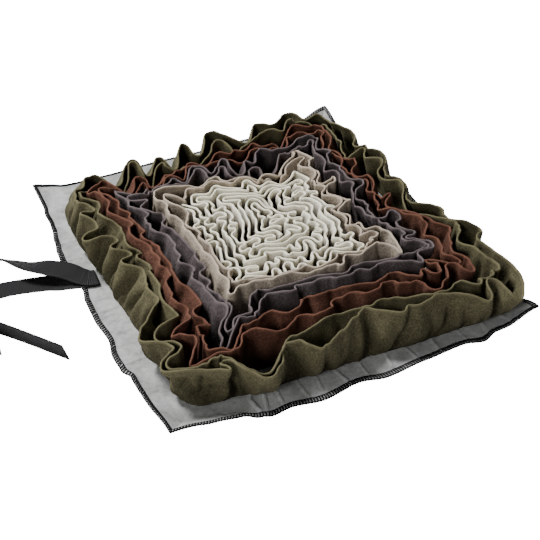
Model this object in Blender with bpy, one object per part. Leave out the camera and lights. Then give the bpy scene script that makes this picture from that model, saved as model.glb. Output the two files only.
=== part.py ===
"""Snuffle mat: five gathered fleece ruffles sewn in rings on a felt backing, with a webbing tie.

The origin is the middle of the mat on the surface it lies on, +X along its front edge, +Z up.
Every ruffle is one strip sewn down its middle, so it stands up as two walls with a valley
between them. Sizes are in millimetres and become metres when a mesh is made.
"""
import math

import bmesh
import bpy
import numpy as np

MM = 0.001

# ---- backing ---------------------------------------------------------------------------------
MAT_X, MAT_Y = 400.0, 460.0
FELT = 2.0                    # thickness
FLAT_X, FLAT_Y = 181.0, 208.0  # half sizes of the part that lies flat, under the ruffles
RIM_POINTS = 34               # points along each edge
RIM_WAVE = 1.0                # how far the margin's edge waves up

# One row per corner: x side, y side, how far it curls up, how far the curl reaches
CORNER_CURL = (
    (-1, -1, 18.0, 48.0),
    (1, -1, 17.0, 27.0),
    (1, 1, 19.0, 34.0),
    (-1, 1, 6.0, 34.0),
)

# One row per bend of the sheet's edge: side, place along it, how far it bows out, how far it lifts
MARGIN = (
    ("front", -200, 0.0, 0.0),
    ("front", -168, 0.0, 2.0),
    ("front", -145, 0.0, 5.0),
    ("front", -129, 0.5, 5.5),
    ("front", -113, 2.5, 0.8),
    ("front", -101, 5.0, 0.3),
    ("front", -83, 3.0, 0.8),
    ("front", -50, 8.0, 0.3),
    ("front", -8, 2.0, 1.2),
    ("front", 20, 6.5, 0.3),
    ("front", 65, 3.0, 0.6),
    ("front", 112, 0.0, 1.2),
    ("front", 134, 4.0, 0.3),
    ("front", 152, -1.5, 1.0),
    ("front", 170, 0.0, 0.8),
    ("front", 200, 0.0, 0.0),
    ("right", -230, 0.0, 0.0),
    ("right", -190, 1.0, 1.0),
    ("right", -140, 4.0, 0.4),
    ("right", -80, 6.0, 1.2),
    ("right", -20, 3.0, 0.4),
    ("right", 40, 6.0, 0.9),
    ("right", 110, 3.0, 0.4),
    ("right", 230, 0.0, 0.0),
    ("back", -200, 0.0, 0.0),
    ("back", -184, -6.0, 0.4),
    ("back", -166, -11.0, 0.4),
    ("back", -120, -9.0, 0.8),
    ("back", -40, -6.0, 0.4),
    ("back", 40, -6.0, 0.6),
    ("back", 120, -4.0, 0.4),
    ("back", 200, 0.0, 0.0),
    ("left", -230, 0.0, 0.0),
    ("left", -175, 2.0, 0.6),
    ("left", -132, 3.0, 1.4),
    ("left", -119, 8.0, 0.4),
    ("left", -97, 9.0, 0.4),
    ("left", -72, 5.0, 1.2),
    ("left", -36, 8.0, 0.3),
    ("left", -4, 7.5, 0.3),
    ("left", 17, 4.0, 0.2),
    ("left", 46, 4.5, 0.2),
    ("left", 73, 11.0, 0.3),
    ("left", 92, 10.0, 0.3),
    ("left", 112, 7.0, 0.6),
    ("left", 138, 3.0, 1.2),
    ("left", 152, 1.5, 0.4),
    ("left", 168, 2.0, 0.8),
    ("left", 186, -0.5, 0.4),
    ("left", 230, 0.0, 0.0),
)

# ---- ruffles ---------------------------------------------------------------------------------
FLEECE = 2.4                  # thickness
STITCH_GAP = 0.3              # clearance between pieces sewn face to face
FOOT = 4.6                    # half width of a ruffle where it is sewn down
LEAST_HEIGHT = 0.55           # a fold that leans far out still stands this share of its wall
CLEARANCE = 5.2               # least distance between the middles of two walls
SAMPLE = 3.0                  # spacing of the points that the folds are settled on
SECTION_STEP = 15.0           # most that an edge may run between two sections of a solid
# Degrees that an edge may turn between two sections, and least that it runs between them
RING_SECTIONS = (30.0, 4.0)
CREAM_SECTIONS = (45.0, 6.0)

# One row per ring: name, half width of its sewn line, its front, its back, corner radius,
# width of a wall, radius of a fold's crest, base colour
RINGS = (
    ("olive", 177.0, -204.0, 181.0, 30.0, 50.0, 8.5, (0.105, 0.095, 0.045)),
    ("rust", 149.0, -173.0, 152.0, 30.0, 50.5, 6.5, (0.155, 0.042, 0.022)),
    ("plum", 120.0, -143.0, 123.0, 30.0, 51.0, 6.0, (0.085, 0.066, 0.074)),
    ("taupe", 91.0, -113.0, 95.0, 22.0, 51.0, 6.5, (0.285, 0.245, 0.195)),
)

# Crests of the folds along each wall's top edge: x and y, anticlockwise from the front left
# corner, one pair per fold
CRESTS = {
    "olive_outer": (
        (-189, -179), (-156, -198), (-133, -213), (-135, -192), (-101, -231), (-69, -201), (-42, -220),
        (18, -191), (50, -210), (100, -201), (140, -228), (153, -203), (173, -236),
        (193, -195), (183, -144), (202, -122), (175, -98), (182, -70), (158, -50), (172, -3), (161, 10),
        (183, 51), (164, 84), (176, 112), (166, 136),
        (158, 170), (138, 166), (122, 190), (96, 172), (72, 179),
        (49, 155), (15, 187), (-12, 155), (-26, 176),
        (-50, 143), (-61, 167), (-80, 146), (-93, 171), (-120, 146), (-148, 163),
        (-178, 115), (-163, 92), (-182, 81), (-170, 58), (-194, 38), (-157, 27), (-173, 12), (-153, -2),
        (-170, -15), (-151, -36), (-161, -63), (-154, -85), (-192, -133), (-167, -161),
    ),
    "olive_inner": (
        (-182, -178), (-158, -193), (-138, -186), (-101, -224),
        (-65, -196), (0, -179), (25, -184), (46, -180),
        (103, -203), (124, -191), (139, -203), (157, -196),
        (176, -190), (163, -132), (181, -108), (146, -60), (170, -12), (154, 16), (173, 38), (159, 55),
        (168, 74), (139, 68), (152, 105),
        (152, 146), (116, 170), (101, 154), (87, 164), (45, 149),
        (30, 142), (19, 166), (-22, 134), (-62, 153),
        (-80, 133), (-93, 162), (-113, 131), (-138, 147),
        (-170, 122), (-152, 105), (-161, 80), (-146, 50),
        (-150, 20), (-139, 0), (-148, -7), (-133, -30),
        (-144, -34), (-142, -60), (-150, -92), (-142, -114), (-178, -140), (-159, -163),
    ),
    "rust_outer": (
        (-162, -187), (-122, -193), (-98, -170), (-70, -186), (-45, -171), (-25, -183), (8, -162),
        (45, -169), (60, -165), (78, -171), (103, -194), (130, -168),
        (155, -182), (148, -145), (171, -110), (140, -68),
        (132, -40), (148, -25), (128, -28), (144, 12),
        (128, 20), (146, 62), (134, 95), (148, 120),
        (146, 138), (123, 152), (104, 147), (87, 120), (76, 137),
        (62, 128), (50, 141), (21, 137), (-6, 138),
        (-20, 130), (-37, 138), (-58, 124), (-70, 133),
        (-86, 111), (-97, 138), (-118, 112), (-129, 138),
        (-160, 124), (-148, 95), (-152, 80), (-138, 48),
        (-146, 18), (-134, 0), (-138, -30), (-131, -55),
        (-146, -75), (-143, -100), (-137, -126), (-164, -145), (-143, -155),
    ),
    "rust_inner": (
        (-142, -172), (-120, -187), (-103, -163), (-66, -146), (-50, -163),
        (-20, -139), (26, -147), (50, -153), (80, -151),
        (95, -172), (102, -160), (116, -172), (120, -140),
        (138, -165), (127, -120), (150, -93), (137, -63), (122, -35), (135, -20), (124, -12), (134, 10),
        (120, 40), (130, 70), (124, 100),
        (138, 128), (121, 132), (96, 138), (80, 118), (66, 127),
        (44, 128), (24, 114), (6, 127), (-14, 124),
        (-32, 129), (-50, 112), (-66, 122), (-80, 108), (-97, 121), (-112, 108), (-126, 125),
        (-145, 118), (-138, 92), (-134, 68), (-128, 42),
        (-130, 15), (-124, -8), (-122, -40), (-127, -58),
        (-118, -78), (-115, -105), (-134, -124), (-121, -142), (-139, -145), (-136, -158),
    ),
    "plum_outer": (
        (-123, -171), (-101, -152), (-74, -155), (-60, -127),
        (-27, -137), (-22, -124), (12, -134), (46, -138),
        (64, -133), (90, -141), (110, -152), (116, -135),
        (138, -135), (144, -120), (112, -115), (128, -103),
        (114, -90), (140, -62), (110, -62), (109, -35),
        (112, -12), (132, 8), (118, 22), (126, 44), (116, 60), (126, 80), (118, 95),
        (128, 122), (104, 122), (62, 118), (52, 126), (42, 108),
        (28, 110), (14, 93), (0, 122), (-14, 100),
        (-30, 128), (-46, 103), (-54, 116), (-70, 104),
        (-82, 114), (-96, 102), (-104, 112), (-122, 100),
        (-134, 110), (-126, 88), (-128, 70), (-113, 50),
        (-126, 38), (-114, 12), (-108, -15), (-115, -38),
        (-108, -60), (-114, -78), (-108, -100), (-99, -122), (-106, -145),
    ),
    "plum_inner": (
        (-112, -160), (-98, -148), (-80, -143), (-70, -118),
        (-50, -116), (-20, -118), (10, -124), (30, -131),
        (44, -122), (75, -128), (98, -134),
        (128, -128), (130, -115), (114, -108), (120, -96), (112, -80), (102, -56), (100, -30),
        (104, -8), (116, 8), (103, 20), (112, 38), (98, 46), (112, 66), (106, 86),
        (118, 114), (100, 100), (70, 100), (48, 80), (34, 94), (20, 86), (4, 88), (-6, 108), (-22, 92),
        (-34, 116), (-52, 96), (-68, 100), (-84, 100), (-100, 92), (-112, 92),
        (-124, 98), (-106, 80), (-118, 66), (-98, 44), (-104, 22), (-94, 5), (-92, -30), (-91, -56),
        (-104, -66), (-96, -80), (-106, -94), (-96, -108), (-98, -130),
    ),
    "taupe_outer": (
        (-92, -114), (-60, -100), (-40, -113), (-20, -108),
        (-6, -118), (10, -116), (28, -113), (34, -124),
        (48, -104), (63, -112), (88, -100), (100, -125),
        (103, -82), (82, -74), (86, -62), (72, -60), (82, -46),
        (70, -32), (96, -20), (82, 8), (106, 26),
        (80, 28), (92, 45), (84, 58), (100, 76),
        (92, 106), (75, 80), (62, 78), (52, 60), (34, 74),
        (24, 62), (12, 78), (-14, 68), (-22, 94), (-42, 78),
        (-62, 91), (-80, 97),
        (-98, 78), (-90, 60), (-96, 40), (-86, 12), (-92, -2),
        (-83, -25), (-88, -40), (-80, -58), (-86, -78),
        (-80, -92), (-90, -102),
    ),
    "taupe_inner": (
        (-70, -98), (-52, -86), (-36, -102), (-20, -96), (0, -98),
        (12, -108), (28, -104), (40, -96), (52, -96),
        (64, -104), (78, -94),
        (92, -84), (66, -80), (76, -70), (64, -55), (72, -42), (62, -22), (84, -20), (66, 4), (74, 14),
        (70, 40), (86, 52), (72, 66),
        (84, 92), (66, 70), (56, 70), (46, 50), (32, 62), (26, 52),
        (12, 66), (-2, 58), (-22, 80), (-40, 66), (-52, 78),
        (-68, 62), (-76, 84),
        (-86, 62), (-68, 40), (-74, 18), (-66, -2), (-72, -22),
        (-60, -40), (-70, -58), (-64, -74), (-76, -86),
    ),
}

# The cream centre: corners of its spiral seam (x, y), from the outer end inwards
CREAM_SEAM = (
    (-60, 52), (-60, -84), (60, -84), (60, 74), (-40, 74), (-40, -64), (40, -64), (40, 54),
    (-20, 54), (-20, -44), (20, -44), (20, 34), (0, 34), (0, -24),
)
CREAM_CORNER = 9.5
CREAM_WALL = 47.0             # width of a wall
CREAM_PAIR = 3.2              # half distance between its two walls before they fold
CREAM_EDGE = 2900.0           # length that each top edge grows towards
CREAM_STEP = 2.4              # spacing of the points along it
CREAM_UNEVEN = 0.45           # how unevenly it grows
CREAM_SPREAD = 7.5            # distance that its top edges keep from each other
CREAM_LEAN = (0.93, 0.86, 5.0, -19.0)   # narrowing in x and y about a seam y, and where that y goes
CREAM_CLEARANCE = 4.8
CREAM_COLOUR = (0.62, 0.59, 0.50)
CREAM_SEED = 11

# Waves that the cream edges start to fold from: wavelength and reach
CREAM_WAVES = (
    (34.0, 1.6),
    (52.0, 1.2),
    (85.0, 0.8),
)

# Twirls that fold the cream centre's rows into each other: x, y, radius, turn in degrees
TWIRLS = (
    (-42.0, -62.0, 34.0, 50.0),
    (38.0, -58.0, 36.0, -55.0),
    (4.0, -30.0, 30.0, 70.0),
    (-34.0, -6.0, 30.0, -60.0),
    (36.0, 2.0, 34.0, 60.0),
    (0.0, 26.0, 34.0, -55.0),
    (-30.0, 34.0, 26.0, 45.0),
    (2.0, -78.0, 28.0, -45.0),
)

# ---- webbing tie -----------------------------------------------------------------------------
TIE_WIDTH = 25.0
TIE_THICK = 1.5
TIE_STEP = 9.0
# One row per bend of the webbing, from one free end to the other: x, y, lift of its lower
# edge, roll about its length in degrees (0 lies flat, 90 stands on edge)
TIE_ROUTE = (
    (-307, -38, 0.2, 62),
    (-345, -37, 0.2, 80),
    (-374, -12, 0.2, 88),
    (-386, 38, 0.2, 90),
    (-371, 90, 0.2, 90),
    (-322, 114, 0.2, 80),
    (-274, 97, 2.0, 45),
    (-250, 70, 8.0, 20),
    (-232, 56, 13.0, 2),
    (-214, 44, 11.0, -2),
    (-202, 34, 7.2, 0),
    (-194, 29, 5.2, 0),
    (-186.5, 28, 4.4, 0),
)
TIE_RETURN = (
    (-186.5, 28, 2.5, 0),
    (-194, 28.5, 3.1, 0),
    (-202, 30, 3.8, 0),
    (-211, 33, 3.3, 0),
    (-223, 39, 1.0, 0),
    (-240, 47, 0.2, 0),
    (-284, 55, 0.2, 0),
    (-322, 57, 0.2, 25),
    (-346, 38, 0.2, 62),
    (-344, 12, 0.2, 76),
    (-322, 4, 0.2, 78),
    (-294, -27, 0.2, 74),
    (-252, -82, 0.2, 73),
)
TIE_COLOUR = (0.022, 0.022, 0.024)
FELT_COLOUR = (0.38, 0.39, 0.38)


def unit(v):
    return v / np.maximum(np.linalg.norm(v, axis=1, keepdims=True), 1e-9)


def outward(line, closed):
    """Unit normals of a plan line, to the right of its direction."""
    if closed:
        run = np.roll(line, -1, 0) - np.roll(line, 1, 0)
    else:
        run = np.gradient(line, axis=0)
    run = unit(run)
    return np.stack([run[:, 1], -run[:, 0]], axis=1)


def arc_lengths(line):
    return np.concatenate(([0.0], np.cumsum(np.hypot(*np.diff(line, axis=0).T))))


def read_at(line, at, where):
    """Points of a line whose vertices lie at the places `at`, read at the places `where`."""
    return np.stack([np.interp(where, at, line[:, k]) for k in range(line.shape[1])], axis=1)


def even(line, step):
    arc = arc_lengths(line)
    return read_at(line, arc, np.linspace(0, arc[-1], int(round(arc[-1] / step)) + 1))


# ---- seams and top edges -----------------------------------------------------------------------
SEAM_STEP = 0.5
FULLEST = 1.1                 # widest a fold may swing, for its distance to the next
LEAST_FOLD = 7.0              # least distance between two crests along the seam
LEAST_DEPTH = 4.0             # least depth that a crest is rounded for
MOST_SHOULDER = 30.0          # longest tangent of a shoulder between two crests
PER_FOLD = 40                 # points from one crest to the next


def ring_seam(half_x, front, back, corner):
    """Rounded rectangle, anticlockwise from the end of the left side."""
    line = []
    centres = ((-half_x + corner, front + corner), (half_x - corner, front + corner),
               (half_x - corner, back - corner), (-half_x + corner, back - corner))
    for quarter, (x, y) in enumerate(centres):
        for turn in np.linspace(0, math.pi / 2, 24):
            a = math.pi + quarter * math.pi / 2 + turn
            line.append((x + corner * math.cos(a), y + corner * math.sin(a)))
    line.append(line[0])
    return even(np.array(line), SEAM_STEP)


def spiral_seam():
    points = np.array(CREAM_SEAM, float)
    line = [points[0]]
    for a, b, c in zip(points[:-2], points[1:-1], points[2:]):
        to_a, to_c = (a - b) / np.linalg.norm(a - b), (c - b) / np.linalg.norm(c - b)
        for t in np.linspace(0, 1, 10):
            p = b + to_a * CREAM_CORNER * (1 - t)
            q = b + to_c * CREAM_CORNER * t
            line.append(p * (1 - t) + q * t)
    line.append(points[-1])
    return even(np.array(line), SEAM_STEP)


def hermite(p0, p1, t0, t1, count):
    u = np.linspace(0, 1, count, endpoint=False)[:, None]
    return ((2 * u**3 - 3 * u**2 + 1) * p0 + (u**3 - 2 * u**2 + u) * t0
            + (3 * u**2 - 2 * u**3) * p1 + (u**3 - u**2) * t1)


def in_order(places, total):
    """Moves the places along a loop apart until they are in order."""
    ring = np.concatenate((places - total, places, places + total))
    for _ in range(200):
        for a in range(len(ring) - 1):
            if ring[a + 1] - ring[a] < LEAST_FOLD:
                middle = (ring[a] + ring[a + 1]) / 2
                ring[a] = middle - LEAST_FOLD * 0.507
                ring[a + 1] = middle + LEAST_FOLD * 0.507
    return ring[len(places):2 * len(places)]


def ring_edge(crests, seam, crest_radius):
    """Top edge through the crests of its folds; also each point's place along the seam."""
    line = seam[:-1]
    total = SEAM_STEP * len(line)
    out = outward(line, True)
    crests = np.array(crests, float)
    nearest = np.array([np.argmin(np.hypot(*(line - c).T)) for c in crests])
    place = nearest * SEAM_STEP
    for i in range(1, len(place)):
        while place[i] < place[i - 1] - total / 2:
            place[i:] += total
        while place[i] > place[i - 1] + total / 2:
            place[i:] -= total
    place = in_order(place, total)
    reach = np.einsum("ij,ij->i", crests - line[nearest], out[nearest])
    along = np.stack([-out[nearest][:, 1], out[nearest][:, 0]], axis=1)
    tangents = np.zeros_like(crests)
    for i in range(len(crests)):
        after = (i + 1) % len(crests)
        rise, fall = reach[i] - reach[i - 1], reach[after] - reach[i]
        if rise * fall > 0:                    # a shoulder on the way to the next crest
            tangents[i] = 0.5 * (crests[after] - crests[i - 1])
            tangents[i] *= min(1.0, MOST_SHOULDER / max(np.linalg.norm(tangents[i]), 1e-6))
        else:
            depth = max(0.5 * (abs(rise) + abs(fall)), LEAST_DEPTH)
            near = min(math.dist(crests[i], crests[i - 1]), math.dist(crests[i], crests[after]))
            tangents[i] = along[i] * min(math.sqrt(6 * crest_radius * depth), FULLEST * near)
    points, places = [], []
    for i in range(len(crests)):
        j = (i + 1) % len(crests)
        points.append(hermite(crests[i], crests[j], tangents[i], tangents[j], PER_FOLD))
        end = place[j] if j else place[0] + total
        places.append(place[i] + (end - place[i]) * np.arange(PER_FOLD) / PER_FOLD)
    points, places = np.vstack(points), np.concatenate(places) % total
    order = np.argsort(places, kind="stable")
    points, places = points[order], places[order]
    return np.vstack([points] * 3), np.concatenate((places - total, places, places + total))


def ring_walls(name, half_x, front, back, corner, crest_radius):
    """Seam, outer top edge and inner top edge of a ring, sampled at the same places."""
    seam = ring_seam(half_x, front, back, corner)
    total = SEAM_STEP * (len(seam) - 1)
    grid = np.arange(0, total, SEAM_STEP)
    outer = ring_edge(CRESTS[name + "_outer"], seam, crest_radius)
    inner = ring_edge(CRESTS[name + "_inner"], seam, crest_radius)
    speed = np.full(len(grid), SEAM_STEP)
    for line, places in (outer, inner):
        at = read_at(line, places, grid)
        speed = np.maximum(speed, np.hypot(*(np.roll(at, -1, 0) - at).T))
    run = np.concatenate(([0.0], np.cumsum(speed)))
    count = int(round(run[-1] / SAMPLE))
    where = np.interp(np.linspace(0, run[-1], count, endpoint=False), run, np.append(grid, total))
    base = read_at(seam, np.arange(len(seam)) * SEAM_STEP, where)
    return base, read_at(*outer, where), read_at(*inner, where)


def twirl(points, share):
    """Turns the points a share of the way round the twirls near them."""
    for x, y, radius, turn in TWIRLS:
        d = points - (x, y)
        far = np.hypot(d[:, 0], d[:, 1]) / radius
        a = share * math.radians(turn) * np.clip(1 - far**2, 0, None) ** 2
        points = np.stack([x + d[:, 0] * np.cos(a) - d[:, 1] * np.sin(a),
                           y + d[:, 0] * np.sin(a) + d[:, 1] * np.cos(a)], axis=1)
    return points


def smooth_rows(rows, passes):
    for _ in range(passes):
        rows[1:-1] = 0.25 * rows[:-2] + 0.5 * rows[1:-1] + 0.25 * rows[2:]
    return rows


def cream_walls():
    """Seam, outer and inner top edge of the spiral centre, before its edges grow into folds."""
    seam = spiral_seam()
    where = np.linspace(0, SEAM_STEP * (len(seam) - 1), int(round(CREAM_EDGE / CREAM_STEP)))
    base = read_at(seam, np.arange(len(seam)) * SEAM_STEP, where)
    x_scale, y_scale, y_seam, y_top = CREAM_LEAN
    middle = np.stack([base[:, 0] * x_scale, y_top + (base[:, 1] + y_seam) * y_scale], axis=1)
    middle = twirl(middle, 1.0)
    side = smooth_rows(outward(middle, False), 6)
    rng = np.random.default_rng(CREAM_SEED)
    run = np.arange(len(base)) * CREAM_STEP
    edges = []
    for half in (CREAM_PAIR, -CREAM_PAIR):
        reach = np.full(len(base), half)
        for wave, share in CREAM_WAVES:
            drift = 2.0 * np.sin(run / 90.0 + rng.uniform(0, 2 * math.pi))
            reach += share * np.sin(2 * math.pi * run / wave + rng.uniform(0, 2 * math.pi) + drift)
        edges.append(middle + side * reach[:, None])
    return base, edges[0], edges[1]


# ---- settling the walls against each other -----------------------------------------------------
# Heights at which the walls are kept apart, the first above them all
LEVELS = (90.0, 52.0, 45.0, 39.0, 33.0, 27.0, 20.0, 14.0, 7.0)
SETTLE_STEPS = 440
RELEASE = 40                  # steps at the end in which the walls are let go
PULL, SMOOTH, PUSH = 0.12, 0.30, 0.45
REACH = 9.0
RING_BEND, CREAM_BEND = 0.04, 0.06   # how strongly an edge straightens
STRETCH = 0.35                # how strongly a cream edge grows
LED = 100                     # steps in which the cream edges are led out along their seam
DRAWN_BY, GROWN_BY = 0.72, 0.8   # shares of the steps by which edges are drawn out, and grown
MOST_LED, MOST_FREE = 0.30, 0.012   # most that an edge is drawn in a step, led and set free
UNEVEN_WAVES = (62.0, 23.0)   # lengths over which a cream edge's growth varies, over 2 pi
UNEVEN_PHASE = 1.7
SEAM_CLEARANCE = 0.62         # share of its clearance that a strip's own two walls keep at the seam
STRIP_CLEARANCE = 1.12        # and that walls of different strips keep
LEAST_SHARE = 0.18            # below this height of a wall, pushes there count as if at it
MOST_PUSHED = 1.2             # most that an edge is pushed in a step
PAIR_STEPS = 8                # steps between two searches for points that are close
SWIRL = (150, 400)            # steps in which they are swirled
SWIRL_TURNS = 1.5             # how many times over


class Wall:
    """One wall of a ruffle: its foot line, the top edge it is drawn to, and its settled edge."""

    def __init__(self, strip, closed, base, goal, side, width, clearance):
        self.strip, self.closed, self.width, self.clearance = strip, closed, width, clearance
        self.foot = base + outward(base, closed) * side * (FOOT - FLEECE / 2)
        self.goal = goal
        self.top = None


def wall_height(lean, width):
    """Height of a wall of that width whose top edge has moved `lean` sideways."""
    return np.maximum(np.sqrt(np.clip(width**2 - lean**2, 0, None)), LEAST_HEIGHT * width)


def cell_pairs(points, reach):
    """Pairs of points closer than reach, found through a grid of square cells."""
    cell = np.floor(points / reach).astype(int)
    cell -= cell.min(0) - 1
    wide = cell[:, 1].max() + 3
    key = cell[:, 0] * wide + cell[:, 1]
    order = np.argsort(key, kind="stable")
    ranked = key[order]
    first, second = [], []
    for dx, dy in ((0, 0), (0, 1), (1, -1), (1, 0), (1, 1)):
        want = key + dx * wide + dy
        low = np.searchsorted(ranked, want, "left")
        count = np.searchsorted(ranked, want, "right") - low
        i = np.repeat(np.arange(len(points)), count)
        within = np.arange(count.sum()) - np.repeat(np.cumsum(count) - count, count)
        j = order[np.repeat(low, count) + within]
        near = np.hypot(*(points[i] - points[j]).T) < reach
        if dx == 0 and dy == 0:
            near &= i < j
        first.append(i[near])
        second.append(j[near])
    return np.concatenate(first), np.concatenate(second)


def settle(walls):
    """Draws every top edge out from its seam, keeping all walls clear of each other."""
    sizes = np.array([len(w.foot) for w in walls])
    start = np.concatenate(([0], np.cumsum(sizes)))
    total = start[-1]
    wall = np.repeat(np.arange(len(walls)), sizes)
    strip = np.array([w.strip for w in walls])[wall]
    closed = np.array([w.closed for w in walls])[wall]
    clearance = np.array([w.clearance for w in walls])[wall]
    number = np.arange(total) - start[wall]
    before, after = np.arange(total) - 1, np.arange(total) + 1
    for w, a, b in zip(walls, start[:-1], start[1:]):
        before[a], after[b - 1] = (b - 1, a) if w.closed else (a, b - 1)
    width = np.array([w.width for w in walls])[wall]
    grows = ~closed
    held = closed[:, None].astype(float)
    bend = np.where(closed, RING_BEND, CREAM_BEND)[:, None]
    foot = np.vstack([w.foot for w in walls])
    goal = np.vstack([w.goal for w in walls])
    run = number * CREAM_STEP
    slow, fast = UNEVEN_WAVES
    uneven = 1 + CREAM_UNEVEN * np.sin(run / slow + wall * UNEVEN_PHASE) * np.sin(run / fast + wall)
    sewn = np.hypot(*(foot - foot[after]).T)
    gain = np.where(grows & (after != np.arange(total)), CREAM_STEP * uneven - sewn, 0.0)
    stretch = np.where(grows & (after != np.arange(total)), STRETCH, 0.0)
    top = foot.copy()
    pairs = []
    for step in range(SETTLE_STEPS):
        drawn = min(1.0, (step + 1) / (SETTLE_STEPS * DRAWN_BY))
        fade = min(1.0, max(0.0, (SETTLE_STEPS - step - RELEASE / 2) / RELEASE))
        short = foot + (goal - foot) * drawn - top
        pull = PULL * fade * short
        most = np.where(closed | (step < LED), MOST_LED, MOST_FREE)
        top = top + pull * np.minimum(1, most / np.maximum(np.hypot(*pull.T), 1e-6))[:, None]
        top = top + SMOOTH * held * (short - 0.5 * (short[before] + short[after]))
        turn = top[before] + top[after] - 2 * top
        top = top - bend * (turn[before] + turn[after] - 2 * turn)
        rest = sewn + gain * min(1.0, (step + 1) / (SETTLE_STEPS * GROWN_BY))
        for _ in range(2):
            link = top[after] - top
            length = np.maximum(np.hypot(*link.T), 1e-6)
            tug = (0.5 * stretch * (length - rest) / length)[:, None] * link
            top = top + tug
            top[after[grows]] -= tug[grows]
        if SWIRL[0] <= step < SWIRL[1]:
            top[grows] = twirl(top[grows], SWIRL_TURNS / (SWIRL[1] - SWIRL[0]))
        height = wall_height(np.hypot(*(top - foot).T), width)
        if step % PAIR_STEPS == 0:
            pairs = []
            for level in LEVELS:
                share = np.minimum(1.0, level / height)[:, None]
                i, j = cell_pairs(foot + share * (top - foot), REACH)
                gap = np.abs(number[i] - number[j])
                gap = np.where(closed[i], np.minimum(gap, sizes[wall[i]] - gap), gap)
                apart = (wall[i] != wall[j]) | (gap > np.where(closed[i], 5, 4))
                pairs.append((i[apart], j[apart]))
        for level, (i, j) in zip(LEVELS, pairs):
            share = np.minimum(1.0, level / height)
            place = foot + share[:, None] * (top - foot)
            d = place[i] - place[j]
            distance = np.maximum(np.hypot(*d.T), 1e-6)
            need = 0.5 * (clearance[i] + clearance[j])
            low = 0.5 * (share[i] + share[j])
            own = SEAM_CLEARANCE + (1 - SEAM_CLEARANCE) * low
            need = need * np.where(strip[i] == strip[j], own, STRIP_CLEARANCE)
            if level == LEVELS[0]:
                need = np.where(grows[i] & grows[j], CREAM_SPREAD, need)
            push = np.clip(need - distance, 0, None) / distance * PUSH
            move = d * push[:, None]
            shift = np.stack([np.bincount(i, move[:, k], total) - np.bincount(j, move[:, k], total)
                              for k in (0, 1)], axis=1)
            touching = np.bincount(i, push > 0, total) + np.bincount(j, push > 0, total)
            shift /= np.maximum(touching, 1)[:, None] ** 0.5
            shift /= np.maximum(share, LEAST_SHARE)[:, None]
            limit = np.minimum(1, MOST_PUSHED / np.maximum(np.hypot(*shift.T), 1e-6))
            top = top + shift * limit[:, None]
    for w, a, b in zip(walls, start[:-1], start[1:]):
        w.top = top[a:b]


# ---- the felt margin ---------------------------------------------------------------------------
def edge_form(side, place):
    """How far the felt's edge bows out and lifts at places along a side."""
    at, bow, lift = np.array([row[1:] for row in MARGIN if row[0] == side], float).T
    k = np.clip(np.searchsorted(at, place) - 1, 0, len(at) - 2)
    u = np.clip((place - at[k]) / (at[k + 1] - at[k]), 0, 1)
    u = u * u * (3 - 2 * u)
    return bow[k] + (bow[k + 1] - bow[k]) * u, lift[k] + (lift[k + 1] - lift[k]) * u


def margin_ring(share, per_edge):
    """Points round the margin's underside, from the flat part (share 0) to the edge (share 1)."""
    half_x = FLAT_X + (MAT_X / 2 - FLAT_X) * share
    half_y = FLAT_Y + (MAT_Y / 2 - FLAT_Y) * share
    along = np.arange(per_edge) / per_edge * 2 - 1
    ring = []
    for side, half, out, turn in (("front", half_x, half_y, 1), ("right", half_y, half_x, 1),
                                  ("back", half_x, half_y, -1), ("left", half_y, half_x, -1)):
        place = along * half * turn
        bow, lift = edge_form(side, place)
        far = turn * (out + bow * share)
        x, y = (place, -far) if side in ("front", "back") else (far, place)
        height = lift * share**2
        height = height + RIM_WAVE * share**2 * (0.5 + 0.5 * np.sin(x / 19.0 + 0.8) * np.cos(y / 23.0 + 0.3))
        for side_x, side_y, curl, reach in CORNER_CURL:
            gap = np.hypot(side_x * MAT_X / 2 - x, side_y * MAT_Y / 2 - y)
            height = height + curl * share * np.exp(-(gap / reach) ** 2)
        ring.append(np.column_stack((x, y, height)))
    return np.vstack(ring)


# ---- meshes ------------------------------------------------------------------------------------
def material(name, colour, roughness):
    shader = bpy.data.materials.new(name)
    shader.use_nodes = True
    surface = shader.node_tree.nodes["Principled BSDF"]
    surface.inputs["Base Color"].default_value = (*colour, 1.0)
    surface.inputs["Roughness"].default_value = roughness
    surface.inputs["Metallic"].default_value = 0.0
    return shader


def add_object(name, verts, faces, colour, roughness):
    mesh = bpy.data.meshes.new(name)
    mesh.from_pydata([tuple(v) for v in np.asarray(verts) * MM], [], faces)
    bm = bmesh.new()
    bm.from_mesh(mesh)
    bmesh.ops.triangulate(bm, faces=bm.faces[:])
    bmesh.ops.recalc_face_normals(bm, faces=bm.faces[:])
    bm.to_mesh(mesh)
    bm.free()
    mesh.materials.append(material(name, colour, roughness))
    thing = bpy.data.objects.new(name, mesh)
    bpy.context.scene.collection.objects.link(thing)
    return thing


def skin(sections, closed):
    """Faces between sections that each have the same number of points."""
    count, around = len(sections), len(sections[0])
    faces = []
    for a in range(count if closed else count - 1):
        b = (a + 1) % count
        for k in range(around):
            n = (k + 1) % around
            faces.append((a * around + k, a * around + n, b * around + n, b * around + k))
    if not closed:
        faces.append(tuple(range(around)))
        faces.append(tuple((count - 1) * around + k for k in reversed(range(around))))
    return faces


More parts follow.
